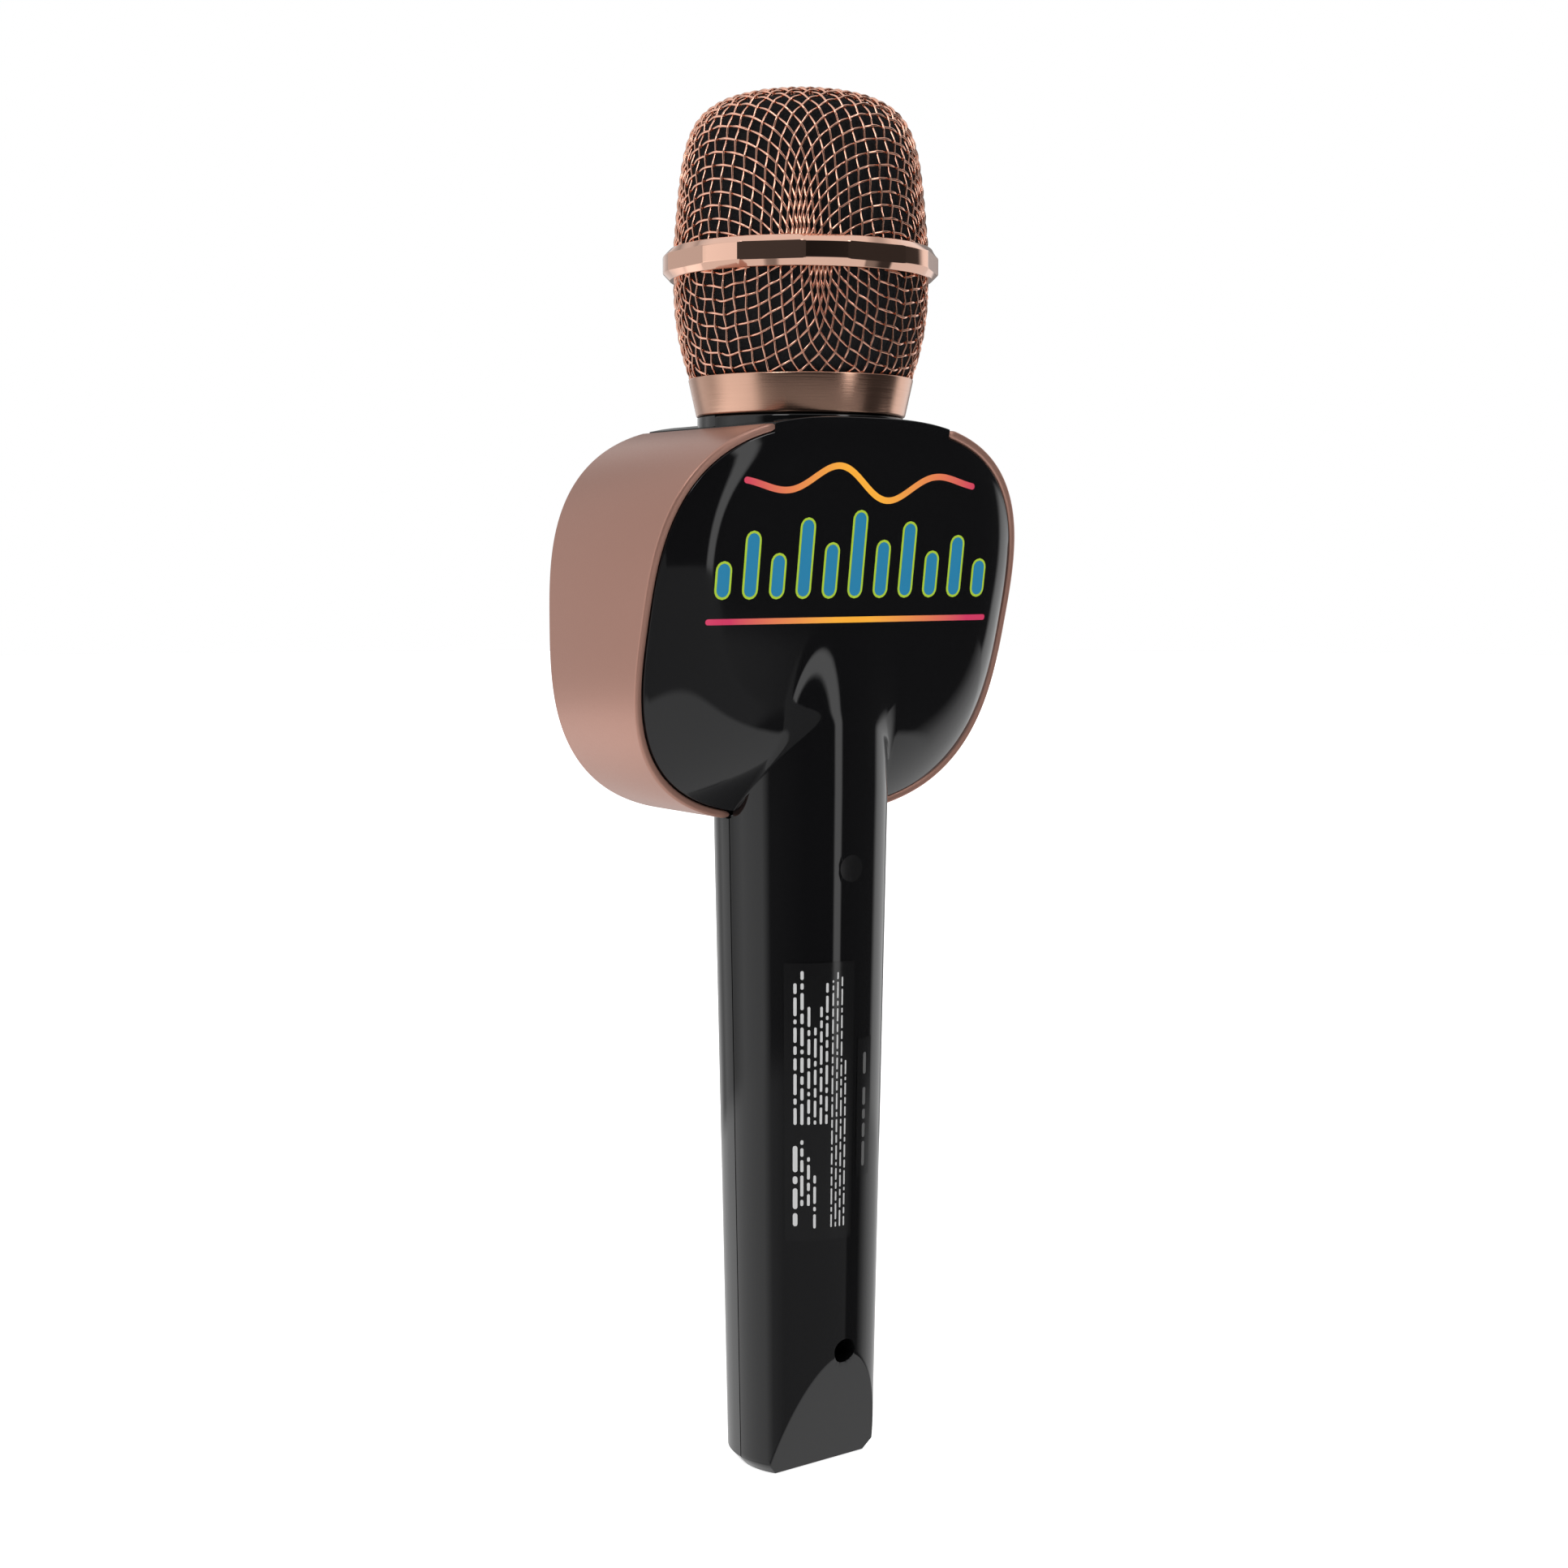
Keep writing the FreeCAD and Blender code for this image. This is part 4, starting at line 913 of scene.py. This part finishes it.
PRINTS = {
    "teal": grained("print_teal", (0.010, 0.20, 0.38), 0.0, 0.22, 0.28, 900),
    "lime": grained("print_lime", (0.38, 0.56, 0.03), 0.0, 0.22, 0.28, 900),
    "glow": glow_look(),
    "white": grained("print_white", (0.52, 0.52, 0.52), 0.0, 0.4, 0.5, 900),
    "grey": grained("print_grey", (0.09, 0.09, 0.09), 0.0, 0.4, 0.5, 900),
}
BAR_HEIGHTS = (7.5, 12.0, 9.0, 14.5, 11.0, 16.5, 10.5, 15.0, 8.5, 12.5, 7.0)
BAR_STEP = 6.0
BAR_FOOT = 171.6


WAVE_HALF = 27.0
WAVE_HEIGHT = 193.0
LINE_HALF = 33.0
LINE_HEIGHT = 167.6


def wave_height(x):
    """Height of the wave line, a ripple that dies away to both sides."""
    return WAVE_HEIGHT + 3.4 * math.sin(x / 4.1) * math.exp(-(x / 21) ** 2)


def equaliser():
    """Generic level bars, a wave over them and a line under them, printed on the rear face."""
    outlines, fills, lines = Patches(), Patches(), Patches()
    for index, height in enumerate(BAR_HEIGHTS):
        x = (index - (len(BAR_HEIGHTS) - 1) / 2) * BAR_STEP
        column = [(x, BAR_FOOT), (x, BAR_FOOT + height)]
        stroke(outlines, on_face, column, 1.75, 0.03)
        inner = [(x, BAR_FOOT + 0.45), (x, BAR_FOOT + height - 0.45)]
        stroke(fills, on_face, inner, 1.3, 0.06)
    wave = [(x, wave_height(x)) for x in np.linspace(-WAVE_HALF, WAVE_HALF, 240)]
    stroke(lines, on_face, wave, 0.6, 0.04)
    stroke(lines, on_face, [(-LINE_HALF, LINE_HEIGHT), (LINE_HALF, LINE_HEIGHT)], 0.55, 0.04)
    for patches, name, look in ((outlines, "bar_outlines", "lime"), (fills, "bar_fills", "teal"),
                                (lines, "wave_line", "glow")):
        finish_piece(patches.object(name), BODY, PRINTS[look])


TEXT_ROWS = (
    (50.5, 0.46, 51.0, 68.0), (50.5, 0.30, 71.0, 99.5), (55.2, 0.30, 55.0, 68.0), (55.2, 0.30, 71.0, 101.0),
    (59.8, 0.28, 55.0, 66.0), (59.8, 0.26, 71.0, 95.0), (64.2, 0.26, 50.5, 61.0), (64.2, 0.24, 71.0, 90.0),
    (68.3, 0.24, 71.0, 94.0), (72.3, 0.24, 71.0, 99.0), (76.5, 0.15, 50.5, 99.0), (79.8, 0.15, 50.5, 100.5),
    (83.1, 0.15, 50.5, 100.0), (86.4, 0.15, 50.5, 84.0),
)
WORDS = (3.2, 5.1, 1.9, 6.4, 3.7, 2.6, 4.6, 1.4, 5.6)


def words(patches, azimuth, half, low, high, first):
    """Add a row of short strokes that stand for a line of print along the handle."""
    u = math.radians(azimuth) * LABEL_RADIUS
    at, index = low, first
    while at < high - 3 * half:
        long = min(WORDS[index % len(WORDS)] * (0.35 + half), high - at)
        if long > 2.6 * half:
            stroke(patches, on_handle, [(u, at), (u, at + long)], half, 0.17)
        at += long + 0.35 + half
        index += 1


def label_print():
    """Greeked lines on the two labels: rows of strokes, no letters."""
    rating, serial = Patches(), Patches()
    for index, (azimuth, half, low, high) in enumerate(TEXT_ROWS):
        words(rating, azimuth, half, low, high, index)
    words(serial, 104.0, 0.42, 61.5, 85.0, 3)
    finish_piece(rating.object("rating_print"), BODY, PRINTS["white"])
    finish_piece(serial.object("serial_print"), BODY, PRINTS["grey"])


# ---------------------------------------------------------------- icons on the buttons

CAP_FACE = 15.2
ICON_LIFT = 0.08
TRIANGLE = ((-0.45, -0.6), (0.65, 0.0), (-0.45, 0.6))
CROSS = ((-0.7, -0.13), (-0.13, -0.13), (-0.13, -0.7), (0.13, -0.7), (0.13, -0.13), (0.7, -0.13), (0.7, 0.13),
         (0.13, 0.13), (0.13, 0.7), (-0.13, 0.7), (-0.13, 0.13), (-0.7, 0.13))
DASH = ((-0.7, -0.13), (0.7, -0.13), (0.7, 0.13), (-0.7, 0.13))


def moved(shape, aside, scale=1.0, flip=1):
    """A shape scaled, mirrored with flip -1, and moved sideways."""
    return [(flip * x * scale + aside, z * scale) for x, z in shape]


def disc(x, z, radius):
    """Round dot as a polygon."""
    turns = [step * math.pi / 12 for step in range(24)]
    return [(x + radius * math.cos(turn), z + radius * math.sin(turn)) for turn in turns]


ICONS = (
    ("volume_up", 0.0, 104.0, 1.6, [CROSS]),
    ("play", 0.0, 93.0, 2.4, [TRIANGLE]),
    ("volume_down", 0.0, 82.0, 1.6, [DASH]),
    ("previous", -3.4, 71.0, 1.1, [moved(TRIANGLE, -0.5, 0.9, -1), moved(TRIANGLE, 0.6, 0.9, -1)]),
    ("next", 3.4, 71.0, 1.1, [moved(TRIANGLE, -0.6, 0.9), moved(TRIANGLE, 0.5, 0.9)]),
    ("echo", -3.4, 60.5, 1.1, [disc(-0.7, 0, 0.42), disc(0.25, 0, 0.3), disc(0.95, 0, 0.18)]),
    ("voice", 3.4, 60.5, 1.1, [moved(DASH, 0, 0.9), moved(CROSS, 0, 0.5)]),
    ("duet", 0.0, 50.5, 1.2, [disc(-0.45, 0, 0.4), disc(0.45, 0, 0.4)]),
)


def icon(name, x, z, scale, shapes):
    """Thin raised sign on a button cap, riding with the cap."""
    patches = Patches()
    for shape in shapes:
        start = len(patches.points)
        total = len(shape)
        for y in (-CAP_FACE + 0.03, -CAP_FACE - ICON_LIFT):
            patches.points += [(x + across * scale, y, z + up * scale) for across, up in shape]
        patches.faces.append(tuple(range(start + total, start + 2 * total)))
        patches.faces.append(tuple(range(start + total - 1, start - 1, -1)))
        for k in range(total):
            after = (k + 1) % total
            patches.faces.append((start + k, start + after, start + total + after, start + total + k))
    look = PRINTS["grey"] if name == "play" else PRINTS["white"]
    finish_piece(patches.object(name + "_icon", 30.0), name + "_cap", look)


# ---------------------------------------------------------------- stage, light and camera

def softbox(name, spot, aim, width, height, radiance):
    """Rectangular light aimed at a point, in metres, with a brightness as seen in a mirror."""
    light = bpy.data.lights.new(name, "AREA")
    light.shape = "RECTANGLE"
    light.size = width
    light.size_y = height
    light.energy = radiance * math.pi * width * height
    item = bpy.data.objects.new(name, light)
    bpy.context.scene.collection.objects.link(item)
    item.location = spot
    item.rotation_euler = (Vector(aim) - Vector(spot)).to_track_quat("-Z", "Y").to_euler()
    item.visible_camera = False
    return item


def by_ray(tree, seen, other):
    """Shader that shows one colour straight to the camera and another to everything else."""
    path = tree.nodes.new("ShaderNodeLightPath")
    mix = tree.nodes.new("ShaderNodeMixShader")
    tree.links.new(path.outputs["Is Camera Ray"], mix.inputs[0])
    tree.links.new(other, mix.inputs[1])
    tree.links.new(seen, mix.inputs[2])
    return mix.outputs[0]


# brightness of the room by azimuth in degrees, as pairs, at eye level and below the table's edge
ROOM = (
    (-180, 1.3), (-150, 1.2), (-146, 0.35), (-118, 0.3), (-112, 1.0), (-84, 0.45), (-74, 0.9), (-50, 0.62),
    (-30, 1.3), (2, 1.2), (13, 0.10), (60, 0.02), (99, 0.03), (101, 2.0), (109, 2.0), (111, 0.04),
    (168, 0.06), (176, 1.2), (180, 1.3),
)
TABLE = (
    (-180, 1.0), (-100, 1.0), (-60, 1.7), (0, 1.2), (12, 0.45), (30, 0.28), (126, 0.32), (128.5, 0.05),
    (150, 0.05), (168, 0.8), (180, 1.0),
)
TABLE_EDGE = -0.25
NEAR_TABLE = -0.60


def by_heading(tree, turn, levels):
    """Brightness as a function of the heading, from (azimuth, level) pairs; a level of 2 is the most."""
    node = tree.nodes.new("ShaderNodeFloatCurve")
    curve = node.mapping.curves[0]
    curve.points[0].location = (0, levels[0][1] / 2)
    curve.points[-1].location = (1, levels[-1][1] / 2)
    for azimuth, level in levels[1:-1]:
        curve.points.new((azimuth + 180) / 360, level / 2)
    for point in curve.points:
        point.handle_type = "VECTOR"
    node.mapping.update()
    tree.links.new(turn, node.inputs["Value"])
    return node.outputs["Value"]


def ramp_between(tree, value, low, high):
    """0 at one value and 1 at the other."""
    node = tree.nodes.new("ShaderNodeMapRange")
    node.inputs["From Min"].default_value = low
    node.inputs["From Max"].default_value = high
    tree.links.new(value, node.inputs["Value"])
    return node.outputs["Result"]


def mixed(tree, share, first, second):
    """First value at share 0 and second at share 1; either may be a number or a socket."""
    node = tree.nodes.new("ShaderNodeMix")
    tree.links.new(share, node.inputs["Factor"])
    for socket, value in (("A", first), ("B", second)):
        if isinstance(value, float):
            node.inputs[socket].default_value = value
        else:
            tree.links.new(value, node.inputs[socket])
    return node.outputs["Result"]


def studio_world():
    """White backdrop; in reflections a room with a dark side round the camera, one tall lamp and a table."""
    world = bpy.data.worlds.new("studio")
    bpy.context.scene.world = world
    world.use_nodes = True
    tree = world.node_tree
    white = tree.nodes["Background"]
    white.inputs["Color"].default_value = (1, 1, 1, 1)
    way = tree.nodes.new("ShaderNodeTexCoord")
    split = tree.nodes.new("ShaderNodeSeparateXYZ")
    tree.links.new(way.outputs["Generated"], split.inputs[0])
    heading = tree.nodes.new("ShaderNodeMath")
    heading.operation = "ARCTAN2"
    tree.links.new(split.outputs["Y"], heading.inputs[0])
    tree.links.new(split.outputs["X"], heading.inputs[1])
    turn = ramp_between(tree, heading.outputs[0], -math.pi, math.pi)
    height = split.outputs["Z"]
    level = mixed(tree, ramp_between(tree, height, 0.55, 0.75), by_heading(tree, turn, ROOM), 0.55)
    table = mixed(tree, ramp_between(tree, height, NEAR_TABLE, NEAR_TABLE - 0.04),
                  by_heading(tree, turn, TABLE), 0.5)
    level = mixed(tree, ramp_between(tree, height, TABLE_EDGE, TABLE_EDGE - 0.012), level, table)
    double = tree.nodes.new("ShaderNodeMath")
    double.operation = "MULTIPLY"
    double.inputs[1].default_value = 2.0
    tree.links.new(level, double.inputs[0])
    room = tree.nodes.new("ShaderNodeBackground")
    tree.links.new(double.outputs[0], room.inputs["Strength"])
    output = tree.nodes["World Output"]
    tree.links.new(by_ray(tree, white.outputs[0], room.outputs[0]), output.inputs["Surface"])


def studio_floor():
    """Pale round floor, lit so evenly that it melts into the backdrop."""
    material = bpy.data.materials.new("pale_floor")
    material.use_nodes = True
    pale = material.node_tree.nodes["Principled BSDF"]
    pale.inputs["Base Color"].default_value = (0.9, 0.9, 0.9, 1)
    pale.inputs["Roughness"].default_value = 0.9
    pale.inputs["Specular IOR Level"].default_value = 0.1
    pale.inputs["Emission Color"].default_value = (1, 1, 1, 1)
    pale.inputs["Emission Strength"].default_value = 0.8
    mesh = bpy.data.meshes.new("floor")
    work = bmesh.new()
    bmesh.ops.create_circle(work, cap_ends=True, radius=4.0, segments=128)
    work.to_mesh(mesh)
    work.free()
    floor = link("floor", mesh)
    floor.location.z = -0.0002
    floor.data.materials.append(material)
    floor.visible_glossy = False


def studio_lights():
    """Small bright lamps above and to the sides, which put glints on the wire and the lips."""
    softbox("key_box", (0.9, 0.5, 1.0), (0, 0, 0.17), 0.35, 0.35, 7.0)
    softbox("rim_box", (-0.3, 1.0, 0.9), (0, 0, 0.17), 0.25, 0.25, 6.0)


def studio_camera():
    """Camera behind the rear cover and a little to its left, looking slightly down."""
    heading = math.radians(36.0)
    pitch = math.radians(5.66)
    pan = math.radians(-0.42)
    ahead = Vector((-math.sin(heading), -math.cos(heading), 0))
    aside = Vector((-math.cos(heading), math.sin(heading), 0))
    level = ahead * math.cos(pan) + aside * math.sin(pan)
    forward = level * math.cos(pitch) - Vector((0, 0, 1)) * math.sin(pitch)
    right = aside * math.cos(pan) - ahead * math.sin(pan)
    up = right.cross(forward)
    data = bpy.data.cameras.new("camera")
    data.lens = 52.4
    data.sensor_width = 36.0
    camera = bpy.data.objects.new("camera", data)
    bpy.context.scene.collection.objects.link(camera)
    turn = Matrix((right, up, -forward)).transposed().to_4x4()
    camera.matrix_world = Matrix.Translation(Vector((261.5, 360.0, 179.2)) * MM) @ turn
    bpy.context.scene.camera = camera
    bpy.context.scene.view_settings.view_transform = "Standard"


# ---------------------------------------------------------------- the whole microphone

def build():
    """Every piece, then the studio."""
    paint_frame()
    baskets()
    joint_ring()
    collar()
    rear_cover()
    band(-1, "band_left", "side_band_left")
    band(1, "band_right", "side_band_right")
    equaliser()
    label_print()
    for sign in ICONS:
        icon(*sign)
    studio_world()
    studio_floor()
    studio_lights()
    studio_camera()


build()
